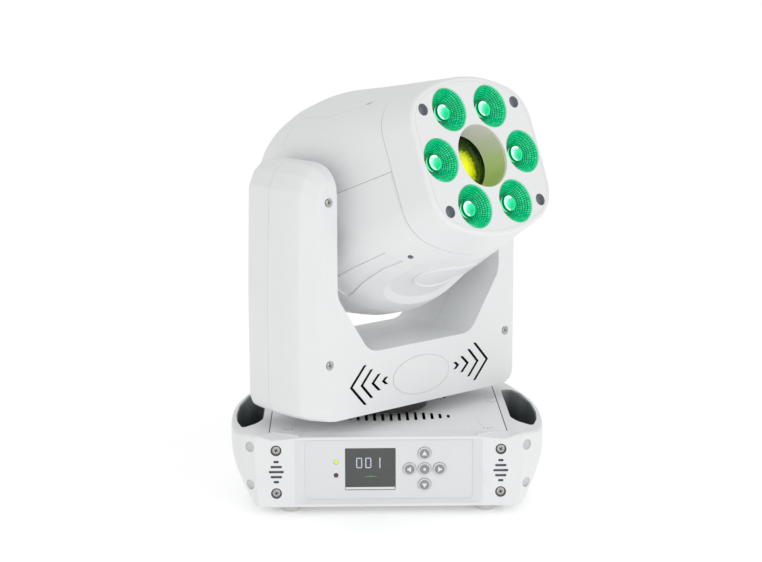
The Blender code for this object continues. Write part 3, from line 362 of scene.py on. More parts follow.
def inset(outline, distance):
    """A closed outline moved inwards by the same distance all round, with its points kept."""
    area = sum(a[0] * b[1] - b[0] * a[1] for a, b in zip(outline, outline[1:] + outline[:1]))
    side = 1.0 if area > 0 else -1.0
    moved = []
    for before, here, after in zip(outline[-1:] + outline[:-1], outline, outline[1:] + outline[:1]):
        one = (Vector(here) - Vector(before)).normalized()
        two = (Vector(after) - Vector(here)).normalized()
        normal = Vector((-one.y - two.y, one.x + two.x)) * side
        normal.normalize()
        stretch = max(0.5, normal.dot(Vector((-one.y, one.x)) * side))
        moved.append(tuple(Vector(here) + normal * (distance / stretch)))
    return moved


def curve_through(points, steps):
    """A smooth open curve through the points (Catmull-Rom), with `steps` pieces between each two."""
    knots = [Vector(point) for point in points]
    knots = [2 * knots[0] - knots[1], *knots, 2 * knots[-1] - knots[-2]]
    curve = []
    for before, start, end, after in zip(knots, knots[1:], knots[2:], knots[3:]):
        for k in range(steps):
            t = k / steps
            curve.append(
                0.5 * (2 * start + (end - before) * t + (2 * before - 5 * start + 4 * end - after) * t**2
                       + (3 * start - before - 3 * end + after) * t**3)
            )
    return [tuple(point) for point in curve] + [tuple(knots[-2])]


def mirrored(half):
    """A closed outline from its right half, which runs from one end of the mirror line to the other."""
    return half + [(-x, y) for x, y in reversed(half) if x > 0]


def rounded(points, most=6.0, steps=4, closed=True):
    """An outline with each corner replaced by a short curve that starts at most `most` from it."""
    knots = [Vector(point) for point in points]
    ends = zip(knots[-1:] + knots[:-1], knots, knots[1:] + knots[:1])
    curve = []
    for k, (before, here, after) in enumerate(ends):
        if not closed and k in (0, len(knots) - 1):
            curve.append(tuple(here))
            continue
        arm_in = (before - here) * min(0.45, most / max((before - here).length, 1e-6))
        arm_out = (after - here) * min(0.45, most / max((after - here).length, 1e-6))
        for i in range(steps + 1):
            t = i / steps
            curve.append(tuple(here + arm_in * (1 - t) ** 2 + arm_out * t**2))
    return curve


def rectangle(left, right, low, high, radius, steps=6):
    """A rounded rectangle."""
    corners = ((right, high, 0), (left, high, 90), (left, low, 180), (right, low, 270))
    outline = []
    for x, z, start in corners:
        inner_x = x - radius if x == right else x + radius
        inner_z = z - radius if z == high else z + radius
        for i in range(steps + 1):
            t = math.radians(start + 90 * i / steps)
            outline.append((inner_x + radius * math.cos(t), inner_z + radius * math.sin(t)))
    return outline


def level(table, at):
    """The value at `at` on a line through the (position, value) pairs of a table, which runs upwards."""
    at = min(max(at, table[0][0]), table[-1][0])
    for (p0, v0), (p1, v1) in zip(table, table[1:]):
        if at <= p1:
            return v0 + (v1 - v0) * (at - p0) / (p1 - p0)
    return table[-1][1]


def smooth_level(table, at, reach):
    """The mean of a table's values up to `reach` on both sides of `at`, which takes off its corners."""
    return sum(level(table, at + reach * shift) for shift in (-1.0, -0.5, 0.0, 0.5, 1.0)) / 5


# ---------------------------------------------------------------- objects

def add(name, data):
    made = bpy.data.objects.new(name, data)
    bpy.context.collection.objects.link(made)
    return made


def draft(name, shape, material, outwards=True):
    """An object in the drawing frame, in millimetres, made from a bmesh. Its faces are turned outwards if asked."""
    if outwards:
        bmesh.ops.recalc_face_normals(shape, faces=shape.faces)
    mesh = bpy.data.meshes.new(name)
    shape.to_mesh(mesh)
    shape.free()
    mesh.materials.append(material)
    return add(name, mesh)


def store(obj, name, value):
    """Keeps a number on each vertex of a draft, from a function of its place."""
    data = obj.data.attributes.new(name, "FLOAT", "POINT").data
    for vertex in obj.data.vertices:
        data[vertex.index].value = value(vertex.co)


def bake(obj):
    """Replaces the object's mesh by the result of its modifiers."""
    graph = bpy.context.evaluated_depsgraph_get()
    mesh = bpy.data.meshes.new_from_object(obj.evaluated_get(graph))
    old = obj.data
    obj.modifiers.clear()
    obj.data = mesh
    bpy.data.meshes.remove(old)


def cut(obj, shape, material=None):
    """Cuts a bmesh from an object. The cut faces take the material."""
    tool = draft("cutter", shape, material or obj.data.materials[0])
    modifier = obj.modifiers.new("cut", "BOOLEAN")
    modifier.operation = "DIFFERENCE"
    modifier.object = tool
    modifier.solver = "EXACT"
    modifier.material_mode = "TRANSFER"
    bake(obj)
    mesh = tool.data
    bpy.data.objects.remove(tool)
    bpy.data.meshes.remove(mesh)


def shade(obj, crease):
    """Smooths the shading across edges that turn by less than the crease angle."""
    obj.data.shade_smooth()
    obj.data.set_sharp_from_angle(angle=math.radians(crease))


def soften(obj, width, segments=2, angle=28.0, crease=CREASE):
    """Rounds the edges that are sharper than the angle, and smooths the shading up to the crease angle."""
    speck, flat = 0.003, 0.4  # a length and an angle too small to matter
    shape = bmesh.new()
    shape.from_mesh(obj.data)
    bmesh.ops.remove_doubles(shape, verts=shape.verts, dist=speck)
    bmesh.ops.dissolve_degenerate(shape, edges=shape.edges, dist=speck)
    bmesh.ops.dissolve_limit(shape, angle_limit=math.radians(flat), verts=shape.verts, edges=shape.edges,
                             delimit={"MATERIAL"})
    shape.to_mesh(obj.data)
    shape.free()
    if width:
        bevel = obj.modifiers.new("edge", "BEVEL")
        bevel.width = width
        bevel.segments = segments
        bevel.limit_method = "ANGLE"
        bevel.angle_limit = math.radians(angle)
        bevel.use_clamp_overlap = True
        bevel.miter_outer = "MITER_ARC"
        bake(obj)
    shade(obj, crease)
    weight = obj.modifiers.new("normals", "WEIGHTED_NORMAL")
    weight.keep_sharp = True
    weight.weight = 60
    bake(obj)
    return obj


def settle(obj, where, body, slot, *nodes):
    """Puts a finished piece in its place, in metres, on its body, and lets it stand for CAD nodes."""
    obj.data.transform(Matrix.Scale(MM, 4) @ where)
    obj.data.update()
    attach(obj, body)
    if nodes:
        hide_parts(*nodes)


def piece(name, shape, material, where, body, slot, *nodes, edge=0.0):
    """A piece with nothing cut from it. edge is how far its sharp edges are rounded."""
    settle(soften(draft(name, shape, material), edge), where, body, slot, *nodes)


def screw_shape(radius, height):
    """A pan head screw standing on z = 0 about the z axis, with a cross cut in its head."""
    crown = [(0.0, height)]
    for angle in (25, 50, 70, 90):
        t = math.radians(angle)
        crown.append((radius * math.sin(t), height * (0.45 + 0.55 * math.cos(t))))
    head = draft("screw", turned("z", [*crown, (radius, 0.0), (0.0, 0.0)], steps=32), SCREW)
    arm, half, floor = 0.62 * radius, 0.13 * radius, 0.35 * height
    for a, b in ((arm, half), (half, arm)):
        outline = [(-a, -b), (a, -b), (a, b), (-a, b)]
        taper = [(0.5 * x, 0.5 * y) for x, y in outline]
        cut(head, levels_in_plan(((floor, taper), (height + 1.0, outline))), INSIDE_SHADE)
    soften(head, 0.12, 1)
    shape = bmesh.new()
    shape.from_mesh(head.data)
    bpy.data.objects.remove(head)
    return shape


def screws(name, places, radius, height, where, body):
    """Screws at the given places, each a matrix that takes +Z to the screw's own direction."""
    single = screw_shape(radius, height)
    copies = []
    for turn in places:
        copy = single.copy()
        bmesh.ops.transform(copy, matrix=turn, verts=copy.verts)
        copies.append(copy)
    single.free()
    made = draft(name, together(*copies), SCREW)
    made.data.materials.append(INSIDE_SHADE)
    shade(made, CREASE)
    settle(made, where, body, "steel")


def facing_front(x, y, z, spin=0.0):
    """Takes +Z to -Y at a point, with the cross turned by an angle."""
    spun = Matrix.Rotation(math.radians(spin), 4, "Z")
    return Matrix.Translation((x, y, z)) @ Matrix.Rotation(math.radians(90), 4, "X") @ spun


# ---------------------------------------------------------------- base

def base_outline(share):
    """The base in plan. share is 0 at the narrow underside and 1 at the widest level."""
    steps = 9
    low = [(122.6, BASE_FRONT), (128.0, -92.0), (136.0, -30.0), (133.0, 30.0), (119.0, 100.0), (115.0, BASE_REAR)]
    high = [(126.0, BASE_FRONT), (145.5, -87.0), (151.5, -30.0), (147.5, 30.0), (129.0, 100.0),
            (122.0, BASE_REAR)]
    pairs = zip(curve_through(low, steps), curve_through(high, steps))
    return mirrored([tuple(Vector(a).lerp(Vector(b), share)) for a, b in pairs])


def base_body():
    """The outer shape: the side walls flare out from the underside, and the upper edge is round."""
    flare = ((0.0, 0.0), (9.0, 0.26), (20.0, 0.54), (29.0, 0.74), (40.0, 0.93), (50.0, 1.0), (BASE_TOP, 1.0))
    heights = [0.0, 0.35, 1.2, 3.0] + [3.0 + 3.1 * k for k in range(1, 20)] + [65.0, 66.5]
    lower_edge = {0.0: 1.2, 0.35: 0.4, 1.2: 0.0}  # height, inset
    levels = []
    for z in heights:
        levels.append((z, inset(base_outline(smooth_level(flare, z, 3.0)), lower_edge.get(z, 0.0))))
    start = 66.9
    radius = BASE_TOP - start
    for k in range(7):
        t = math.radians(15 * k)
        levels.append((start + radius * math.sin(t), inset(base_outline(1.0), radius * (1 - math.cos(t)))))
    return levels_in_plan(levels)


def hand_hole(side):
    """The pocket behind each side wall, where a hand goes in from above to carry the light."""
    inner, outer = 121.0, 146.2
    top = [(inner, -44.0), (126.5, -60.0), (138.5, -76.0), (144.3, -52.0), (outer, -25.0), (144.8, 11.0),
           (138.3, 50.0), (130.0, 68.0), (inner, 67.0)]
    top = rounded(top, 5.0)
    lean = 8.0  # how far the outer wall comes in towards the floor
    bottom = [(x - lean * (x - inner) / (outer - inner), y) for x, y in top]
    levels = ((14.0, bottom), (50.0, top), (BASE_TOP - 1.6, top), (BASE_TOP - 0.5, inset(top, -0.6)),
              (BASE_TOP + REACH, inset(top, -2.0)))
    return levels_in_plan([(z, [(side * x, y) for x, y in outline]) for z, outline in levels])


def pad_facet(side):
    """The cut that slants the upper corner of each front pad back towards the top plate."""
    outer, inner, low = (125.4, 70.4), (81.0, 67.7), (110.0, 65.2)
    ahead, above = BASE_FRONT - 2.0, 3.0
    corner_x, corner_y = PLATE_HALF_WIDTH + 0.4, PLATE_FRONT + 0.8
    points = []
    for x, z in (outer, inner):
        points += [(x, BASE_FRONT, z), (x, ahead, z + above)]
    points += [(low[0], BASE_FRONT, low[1]), (low[0], ahead, low[1])]
    points += [(corner_x, corner_y, BASE_TOP), (corner_x, corner_y, BASE_TOP + above)]
    return hull([(side * x, y, z) for x, y, z in points])


def make_housing():
    housing = draft("base_housing_shell", base_body(), WHITE)
    over = BASE_TOP + REACH
    cut(housing, block((-CAVITY_HALF_WIDTH, CAVITY_FRONT, -REACH), (CAVITY_HALF_WIDTH, CAVITY_REAR, over)), INSIDE_SHADE)
    ledge = BASE_TOP - PLATE_THICKNESS - GAP
    seam = PLATE_HALF_WIDTH + 0.8
    cut(housing, block((-seam, PLATE_FRONT - GAP, ledge), (seam, PLATE_REAR + GAP, over)), INSIDE_SHADE)
    cut(housing, together(hand_hole(1), hand_hole(-1)), POCKET_SHADE)
    ahead, above = BASE_FRONT - 2.0, 75.0
    slope = [(ahead, 67.6), (PLATE_FRONT, BASE_TOP + 0.05), (PLATE_FRONT, above), (ahead, above)]
    cut(housing, prism("x", slope, -84.0, 84.0))
    for side in (-1, 1):
        cut(housing, pad_facet(side))
    cut_panel_recess(housing)
    slits, sinks = [], []
    for side in (-1, 1):
        x = side * PAD_X
        for z, length in PAD_SLITS:
            outline = rectangle(x - length / 2, x + length / 2, z - 1.2, z + 1.2, 1.1, 3)
            slits.append(prism("y", outline, BASE_FRONT - REACH, BASE_FRONT + 3.0))
        for z in PAD_SCREWS_Z:
            sinks.append(disc("y", 5.2, BASE_FRONT - REACH, BASE_FRONT + 3.2, (x, z), 32))
    cut(housing, together(*slits), HOLE_SHADE)
    cut(housing, together(*sinks), HOLE_SHADE)
    cut(housing, together(*corner_recesses()), PLUG_GREY)
    cut(housing, block((-96.0, 95.0, 8.0), (96.0, BASE_REAR + REACH, 62.0)), INSIDE_SHADE)
    soften(housing, 0.7, 3)
    # Painted light in the hand-holes: the stored value darkens the walls further down and lightens their rear
    by_height = ((20.0, 0.0), (BASE_TOP - 3.0, 0.72))
    rear_start, rear_extra = 30.0, 0.28  # the rear of each hand-hole catches more light
    store(housing, "depth", lambda point: level(by_height, point.z) + (rear_extra if point.y > rear_start else 0.0))
    settle(housing, BASE, "base", "white_plastic", "base_housing")


def cut_panel_recess(housing):
    """The opening behind the front panel, and the reveal that slopes in to it."""
    opening = rectangle(-82.0, 82.0, 4.8, 66.2, 4.0)
    cut(housing, prism("y", opening, PANEL_FACE - 0.2, CAVITY_FRONT + REACH), INSIDE_SHADE)
    mouth = rectangle(-88.9, 88.9, 2.7, 65.7, 3.0)
    throat = rectangle(-79.3, 79.3, 6.9, 64.5, 4.0)
    wider = [tuple(Vector(a).lerp(Vector(b), -0.1)) for a, b in zip(mouth, throat)]
    levels = ((BASE_FRONT - 0.3, wider), (PANEL_FACE - 0.3, throat), (PANEL_FACE + 1.0, throat))
    # The reveal takes the panel's grey, a little darker than the housing, as painted shade on its slopes
    cut(housing, levels_in_front(levels), PANEL)


def corner_recesses():
    """Two shallow round dimples on each front corner, for moulded-in plugs."""
    profile = [(0.0, -1.2), (4.6, -1.2), (5.0, -0.4), (5.2, 5.0), (0.0, 5.0)]
    dimples = []
    for side in (-1, 1):
        for z, x, share, drop in ((58.6, 131.5, 1.0, 0.0), (21.4, 130.6, 0.56, -0.25)):
            run = [point for point in base_outline(share) if point[0] > 0 and point[1] < -80.0]
            near, far = sorted(run, key=lambda point: abs(point[0] - x))[:2]
            along = Vector((far[0] - near[0], far[1] - near[1], 0.0)).normalized()
            outward = Vector((abs(along.y), -abs(along.x), drop)).normalized()
            outward.x *= side
            turn = outward.to_track_quat("Z", "Y").to_matrix().to_4x4()
            spot = Matrix.Translation((side * near[0], near[1], z)) @ turn
            shape = turned("z", profile, steps=40)
            bmesh.ops.transform(shape, matrix=spot, verts=shape.verts)
            dimples.append(shape)
    return dimples


def vent_slots():
    """Slots across the top plate in front of the yoke and behind it, shorter towards the sides."""
    pitch, half_width = 8.0, 1.45
    slots = []
    for k in range(8):
        x = pitch * (k + 0.5)
        front = 55.3 - 10.4 * (x / 60.0) ** 2
        rear = 22.0 + 11.9 * (x / 60.0) ** 3
        for side in (-1, 1):
            for end in (-1, 1):
                near, far = sorted((end * front, end * rear))
                outline = rectangle(side * x - half_width, side * x + half_width, near, far, 1.3, 3)
                slots.append(prism("z", outline, 60.0, 80.0))
    return slots


def make_top_plate():
    low, over = BASE_TOP - PLATE_THICKNESS, BASE_TOP + 1.0
    outline = rectangle(-PLATE_HALF_WIDTH, PLATE_HALF_WIDTH, PLATE_FRONT, PLATE_REAR, 1.2, 3)
    plate = draft("top_plate_sheet", prism("z", outline, low, BASE_TOP), COATED)
    cut(plate, disc("z", 15.3, 60.0, 80.0))
    cut(plate, together(*vent_slots()), INSIDE_SHADE)
    # Shallow ribs that widen towards the front, then groups of three pits where a tool held the sheet
    ribs = [[(86.2, -35.6), (89.4, -88.4)], [(78.4, -58.8), (79.6, -88.4)]]
    for side in (-1, 1):
        for (x0, y0), (x1, y1) in ribs:
            corners = ((x0 - 0.5, y0), (x0 + 0.5, y0), (x1 + 1.3, y1), (x1 - 1.3, y1))
            cut(plate, prism("z", [(side * x, y) for x, y in corners], BASE_TOP - 0.35, over))
    pits = []
    for side in (-1, 1):
        for x, y in ((95.0, -84.5), (106.0, 34.5), (106.5, 16.5)):
            for dx, dy in ((-3.2, 0.6), (0.0, -2.2), (3.2, 0.2)):
                pits.append(disc("z", 0.95, BASE_TOP - 0.7, over, (side * (x + dx), y + dy), 12))
    cut(plate, together(*pits), HOLE_SHADE)
    soften(plate, 0.35, 2)
    settle(plate, BASE, "base", "white_metal", "base_top_plate")


def make_front_panel():
    back = PANEL_FACE + PANEL_THICKNESS
    through = (PANEL_FACE - REACH, back + REACH)
    sheet = prism("y", rectangle(-81.5, 81.5, 5.2, 65.8, 4.5), PANEL_FACE, back)
    panel = draft("front_panel_sheet", sheet, PANEL)
    left, right, low, high = DISPLAY
    cut(panel, prism("y", rectangle(left, right, low, high, 0.8, 3), *through), HOLE_SHADE)
    cut(panel, together(*(disc("y", 2.2, *through, spot, 32) for spot in STATUS_LIGHTS.values())), HOLE_SHADE)
    cut(panel, together(*(disc("y", 6.4, *through, spot, 64) for spot in BUTTONS.values())), PLUG_GREY)
    soften(panel, 0.5, 3)
    settle(panel, BASE, "base", "panel_grey", "front_panel")

    glass_face, seat = PANEL_FACE + 0.5, back - 0.3
    sill = low + 3.0
    pane = prism("y", rectangle(left + GAP, right - GAP, sill, high - GAP, 0.5, 2), glass_face, seat)
    piece("display_glass_pane", pane, GLASS, BASE, "base", "display", "display_window", edge=0.15)
    strip = block((left + GAP, glass_face + 0.2, low + GAP), (right - GAP, seat, sill - 0.25))
    piece("display_lower_strip", strip, WHITE, BASE, "base", "white_plastic", edge=0.3)
    draw_display(glass_face)
    for word, spot in STATUS_LIGHTS.items():
        dome = [(0.0, PANEL_FACE - 0.75), (0.9, PANEL_FACE - 0.62), (1.6, PANEL_FACE - 0.2),
                (1.95, PANEL_FACE + 0.5), (1.95, back - 0.4), (0.0, back - 0.4)]
        material = LIT if word == "signal" else UNLIT
        piece(f"status_light_{word}", turned("y", dome, spot, 32), material, BASE, "base", "display")


def draw_display(face):
    """A three-figure number in seven-segment digits and a short level bar, lying on the glass."""
    sunk, proud, margin = face - 0.05, face + 0.1, 0.12
    width, height, thick = 5.8, 10.4, 1.1
    middle = height / 2
    bars = {
        "top": (0.0, width, height - thick, height),
        "bottom": (0.0, width, 0.0, thick),
        "upper_left": (0.0, thick, middle, height),
        "upper_right": (width - thick, width, middle, height),
        "lower_left": (0.0, thick, 0.0, middle),
        "lower_right": (width - thick, width, 0.0, middle),
    }
    one = ("upper_right", "lower_right")
    left, pitch, low = -30.6, 8.6, 36.8
    strokes = []
    for k, lit in enumerate((bars, bars, one)):
        x = left + pitch * k
        for name in lit:
            x0, x1, z0, z1 = bars[name]
            corner = (x + x0 + margin, sunk, low + z0 + margin)
            strokes.append(block(corner, (x + x1 - margin, proud, low + z1 - margin)))
    piece("display_digits", together(*strokes), INK, BASE, "base", "display")
    ticks = []
    for k in range(7):
        x = -22.0 + 1.6 * k
        ticks.append(block((x, sunk, 28.2), (x + 1.0, proud, 28.9 + 0.25 * min(k, 6 - k))))
    piece("display_level_bar", together(*ticks), INK_GREEN, BASE, "base", "display")


def make_keys():
    """Round keys: a white cap with a groove round a grey disc, which carries a white arrow or a dot."""
    cap = [(0.0, -105.0), (4.7, -105.0), (4.9, -104.6), (5.2, -104.6), (5.4, -105.2), (5.8, -105.3), (6.1, -104.9),
           (6.1, -101.4), (7.0, -101.4), (7.0, -100.4), (3.0, -100.4), (3.0, -99.7), (0.0, -99.7)]
    face = [(0.0, -105.25), (4.3, -105.22), (4.6, -105.0), (4.6, -104.8), (0.0, -104.8)]
    turns = {"right": 0, "up": 90, "left": 180, "down": 270}
    arrow_radius, dot_radius = 2.9, 1.35
    for name, spot in BUTTONS.items():
        body = f"button_{name}"
        piece(f"key_cap_{name}", turned("y", cap, spot, 64), PANEL, BASE, body, "panel_grey", body, edge=0.1)
        piece(f"key_disc_{name}", turned("y", face, spot, 64), KEY_GREY, BASE, body, "button_grey")
        if name == "ok":
            outline = circle(dot_radius, 32, spot)
        else:
            tips = [math.radians(turns[name] + a) for a in (0, 120, 240)]
            tips = [(spot[0] + arrow_radius * math.cos(t), spot[1] + arrow_radius * math.sin(t)) for t in tips]
            outline = rounded(tips, 0.5, 3)
        sign = prism("y", outline, -105.4, -105.1)
        piece(f"key_sign_{name}", sign, WHITE, BASE, body, "white_plastic")


def make_base_trim():
    r, low = FOOT_RADIUS, FOOT_BOTTOM
    bulge = [(0.0, low), (2.4, low), (2.4, low + 2.5), (4.2, low + 2.5), (4.2, low), (r - 3.0, low),
             (r - 1.5, low + 0.4), (r - 0.5, low + 1.5), (r, low + 3.4), (r, low + 6.0), (r - 0.6, -1.0),
             (r - 1.0, -GAP), (0.0, -GAP)]
    for side, word in ((-1, "left"), (1, "right")):
        for end, end_word in ((-1, "front"), (1, "rear")):
            foot = turned("z", bulge, (side * FOOT_X, end * FOOT_Y), 56)
            place_name = f"{end_word}_{word}"
            piece(f"rubber_foot_{place_name}", foot, RUBBER, BASE, "base", "foot_rubber", f"foot_{place_name}")
    places = [facing_front(side * PAD_X, BASE_FRONT + 3.0, z, 20.0 + 37.0 * k)
              for side in (-1, 1) for k, z in enumerate(PAD_SCREWS_Z)]
    screws("pad_screws", places, 4.1, 2.4, BASE, "base")
    rear_face = BASE_REAR - 2.5
    facing_rear = Matrix.Rotation(math.radians(-90), 4, "X")
    spots = [(x, z) for x in (-90.0, -30.0, 90.0) for z in (13.5, 56.5)]
    places = [Matrix.Translation((x, rear_face, z)) @ facing_rear for x, z in spots]
    screws("rear_panel_screws", places, 3.2, 1.9, BASE, "base")

    # Three round pins in each of the two signal sockets, then three flat blades in the power inlet
    socket_z, ring = 35.0, 4.6
    pins = []
    for x in (20.0, 60.0):
        for k in range(3):
            t = math.radians(90 + 120 * k)
            spot = (x + ring * math.cos(t), socket_z + ring * math.sin(t))
            pins.append(disc("y", 1.1, rear_face - 10.5, rear_face - 2.0, spot, 20))
    for dx, dz in ((-6.0, -2.2), (6.0, -2.2), (0.0, 2.6)):
        x, z = -62.0 + dx, socket_z + dz
        pins.append(block((x - 1.2, rear_face - 16.5, z - 2.2), (x + 1.2, rear_face - 3.0, z + 2.2)))
    piece("socket_contacts", together(*pins), ALUMINIUM, BASE, "base", "aluminium", edge=0.2)


# ---------------------------------------------------------------- yoke

def yoke_outline(depth, corner=3.0):
    """The U of the yoke seen from the front, at a depth behind its front face, as (x, z) points. Its corners are cut
    at most `corner` from their tips, and stay sharp when that is 0."""
    front = [(110.0, YOKE_BOTTOM), (119.0, 85.6), (125.5, 89.5), (128.3, 96.0), (128.6, 200.0), (128.0, 282.0),
             (124.5, 293.5), (117.0, 298.5), (YOKE_INNER, 298.5)]
    middle = [(118.0, YOKE_BOTTOM), (134.0, 86.2), (145.0, 91.5), (149.3, 103.0), (YOKE_OUTER, 200.0),
              (145.8, 303.0), (138.5, 317.5), (127.0, YOKE_CROWN), (YOKE_INNER, YOKE_CROWN)]
    inside = [(YOKE_INNER, 206.0), (105.0, 198.5), (72.0, 151.0), (65.5, 146.0), (58.0, YOKE_SILL)]
    round_depth, fullness = 35.0, 2.4  # the crown rounds over this depth, by the power of its curve
    rise = (1.0 - (1.0 - min(depth / round_depth, 1.0)) ** fullness) ** (1.0 / fullness)
    spread = level(SIDE_SHARE, depth)
    half = []
    for (x0, z0), (x1, z1) in zip(front, middle):
        up = rise if z1 > TILT_AXIS else spread
        half.append((x0 + (x1 - x0) * spread, z0 + (z1 - z0) * up))
    if not corner:
        return mirrored(half + inside)
    return mirrored([half[0]] + rounded(half[1:] + inside, corner, 4, closed=False))


def front_to_back(levels):
    """A body through the levels from the yoke's front to its middle, then through their mirror images."""
    return levels_in_front([*levels, *((-y, outline) for y, outline in reversed(levels[:-1]))])


def yoke_body():
    depths = (0.0, 0.5, 1.1, 1.8, 2.6, 4.0, 5.5, 7.5, 9.5, 11.5, 13.2, 14.8, 17.0, 20.7, 25.0, 30.0, 35.0, 43.0,
              YOKE_HALF_DEPTH)
    return front_to_back([(YOKE_FRONT + depth, yoke_outline(depth)) for depth in depths])


def yoke_hollow():
    levels = []
    middle = 14.0  # from here on the hollow follows the outside at the same depth
    for depth in (0.0, 2.6, 9.5, middle, 20.7, 35.0, YOKE_HALF_DEPTH):
        y = YOKE_FRONT + depth + (WALL if depth < middle else 0.0)
        levels.append((y, inset(yoke_outline(depth, 0.0), WALL)))
    return front_to_back(levels)


def chevron(side, tip, end, half_height):
    """One arrow-shaped slot with its tip pointing outwards."""
    across = CHEVRON_WIDTH / math.sin(math.atan2(half_height, tip - end))
    heel = end - across
    points = ((tip, 0.0), (end, half_height), (heel, half_height), (tip - across, 0.0), (heel, -half_height),
              (end, -half_height))
    outline = [(side * x, CHEVRON_Z + z) for x, z in points]
    return prism("y", outline, YOKE_FRONT - REACH, YOKE_FRONT + WALL + REACH)


def badge_oval(edge):
    """The outline of the yoke's badge, moved inwards by edge."""
    return [(x * (BADGE_HALF_WIDTH - edge), BADGE_Z + z * (BADGE_HALF_HEIGHT - edge)) for x, z in circle(1.0, 96)]


def make_yoke_cover(word, end):
    half_seam = 0.14
    cover = draft(f"yoke_{word}_shell", yoke_body(), WHITE)
    cut(cover, yoke_hollow(), INSIDE_SHADE)
    near, beyond = sorted((-end * FAR, end * half_seam))
    cut(cover, block((-FAR, near, 0.0), (FAR, beyond, 2 * FAR)))
    axles = [disc("x", 17.0, *sorted((side * 100.0, side * 112.0)), (0.0, TILT_AXIS)) for side in (-1, 1)]
    cut(cover, together(disc("z", 41.0, 80.0, 90.0, steps=72), *axles), INSIDE_SHADE)
    if word == "front":
        cut(cover, together(*(chevron(side, *sizes) for side in (-1, 1) for sizes in CHEVRONS)), INSIDE_SHADE)
        sinks = [disc("y", 4.7, YOKE_FRONT - REACH, YOKE_FRONT + 1.9, spot, 40) for spot in YOKE_SCREWS]
        cut(cover, together(*sinks))
        cut(cover, prism("y", badge_oval(-0.7), YOKE_FRONT - 1.0, YOKE_FRONT + 0.5))
    soften(cover, 0.8, 3, 24.0, 15.0)
    settle(cover, YOKE, "yoke", "white_plastic", f"yoke_{word}_cover")


def make_yoke():
    make_yoke_cover("front", -1)
    make_yoke_cover("rear", 1)
    rows = ((0.4, 0.0), (-0.25, 0.0), (-0.45, 0.35), (-0.5, 0.9))  # distance behind the front face, inset
    badge = levels_in_front([(YOKE_FRONT + y, badge_oval(edge)) for y, edge in rows])
    piece("yoke_badge_blank", badge, WHITE, YOKE, "yoke", "white_plastic", "yoke_badge")
    places = [facing_front(x, YOKE_FRONT + 1.8, z, 25.0 * k) for k, (x, z) in enumerate(YOKE_SCREWS)]
    screws("yoke_screws", places, 3.3, 2.0, YOKE, "yoke")
    collar = turned("z", [(36.0, 73.6), (40.2, 73.6), (40.5, 73.9), (40.5, 87.7), (36.0, 87.7)], steps=120)
    piece("pan_collar_ring", collar, BLACK, YOKE, "yoke", "black_plastic", "pan_collar", edge=0.3)


# ---------------------------------------------------------------- head

def head_quarter(half_width, height):
    """A quarter of a section, from its side to its crown: a straight side, a round corner and a gentle crown."""
    corner_steps, crown_steps = 14, 12
    corner = CORNER_SHARE * half_width
    straight = min(STRAIGHT_SHARE * height, 0.9 * height - corner)
    run, rise = half_width - corner, height - straight
    crown = (rise**2 + run**2 - corner**2) / (2 * (rise - corner))
    split = math.atan2(straight - height + crown, run)
    arc = [split * k / corner_steps for k in range(corner_steps + 1)]
    points = [(run + corner * math.cos(t), straight + corner * math.sin(t)) for t in arc]
    arc = [split + (math.pi / 2 - split) * k / crown_steps for k in range(1, crown_steps)]
    return points + [(crown * math.cos(t), height - crown + crown * math.sin(t)) for t in arc]


def head_sizes(w):
    """Half width, height above and depth below at a distance w along the optical axis, with its creases softened."""
    table = [tuple(reversed([(row[0], row[k]) for row in HEAD_SECTIONS])) for k in (1, 2, 3)]
    soft = min(3.0 if w > -30.0 else 1.2, max(0.0, w + 121.9), max(0.0, 142.6 - w))
    return [smooth_level(part, w, soft) for part in table]


def head_section(w):
    """The head's outer section at a distance w along the optical axis."""
    half_width, above, below = head_sizes(w)
    upper = head_quarter(half_width, above)
    lower = [(x, -z) for x, z in head_quarter(half_width, below)]
    return mirrored([(0.0, -below), *reversed(lower), *upper, (0.0, above)])


def head_loft(steps, wall=0.0):
    """A body through the head's sections at the given distances, each with its own extra inset."""
    return loft([[(x, -w, z) for x, z in inset(head_section(at), wall + edge)] for w, at, edge in steps])


def skin(angle, w, lift=0.0):
    """The point of the head's surface at an angle round the optical axis, in degrees from +x, lifted off it."""
    turn = math.radians(angle)
    direction = Vector((math.cos(turn), math.sin(turn)))
    outline = [Vector(point) for point in head_section(w)]
    for a, b in zip(outline, outline[1:] + outline[:1]):
        side_a, side_b = (direction.x * point.y - direction.y * point.x for point in (a, b))
        if (side_a <= 0) != (side_b <= 0) and a.dot(direction) > 0:
            spot = a.lerp(b, side_a / (side_a - side_b)) + direction * lift
            return Vector((spot.x, -w, spot.y))
    raise ValueError(f"the section at {w} does not go round the optical axis")


def groove(path, width, depth):
    """A V-sided cutter along a path of (angle, w) on the head's surface."""
    above, floor_share = 1.2, 0.3
    points = curve_through(path, 4)
    rows = []
    for k, (angle, w) in enumerate(points):
        here = skin(angle, w)
        out = (skin(angle, w, 1.0) - here).normalized()
        before = skin(*points[max(k - 1, 0)])
        after = skin(*points[min(k + 1, len(points) - 1)])
        across = (after - before).normalized().cross(out).normalized() * (width / 2)
        low, high = here - out * depth, here + out * above
        rows.append([low - across * floor_share, low + across * floor_share, high + across, high - across])
    return loft(rows)


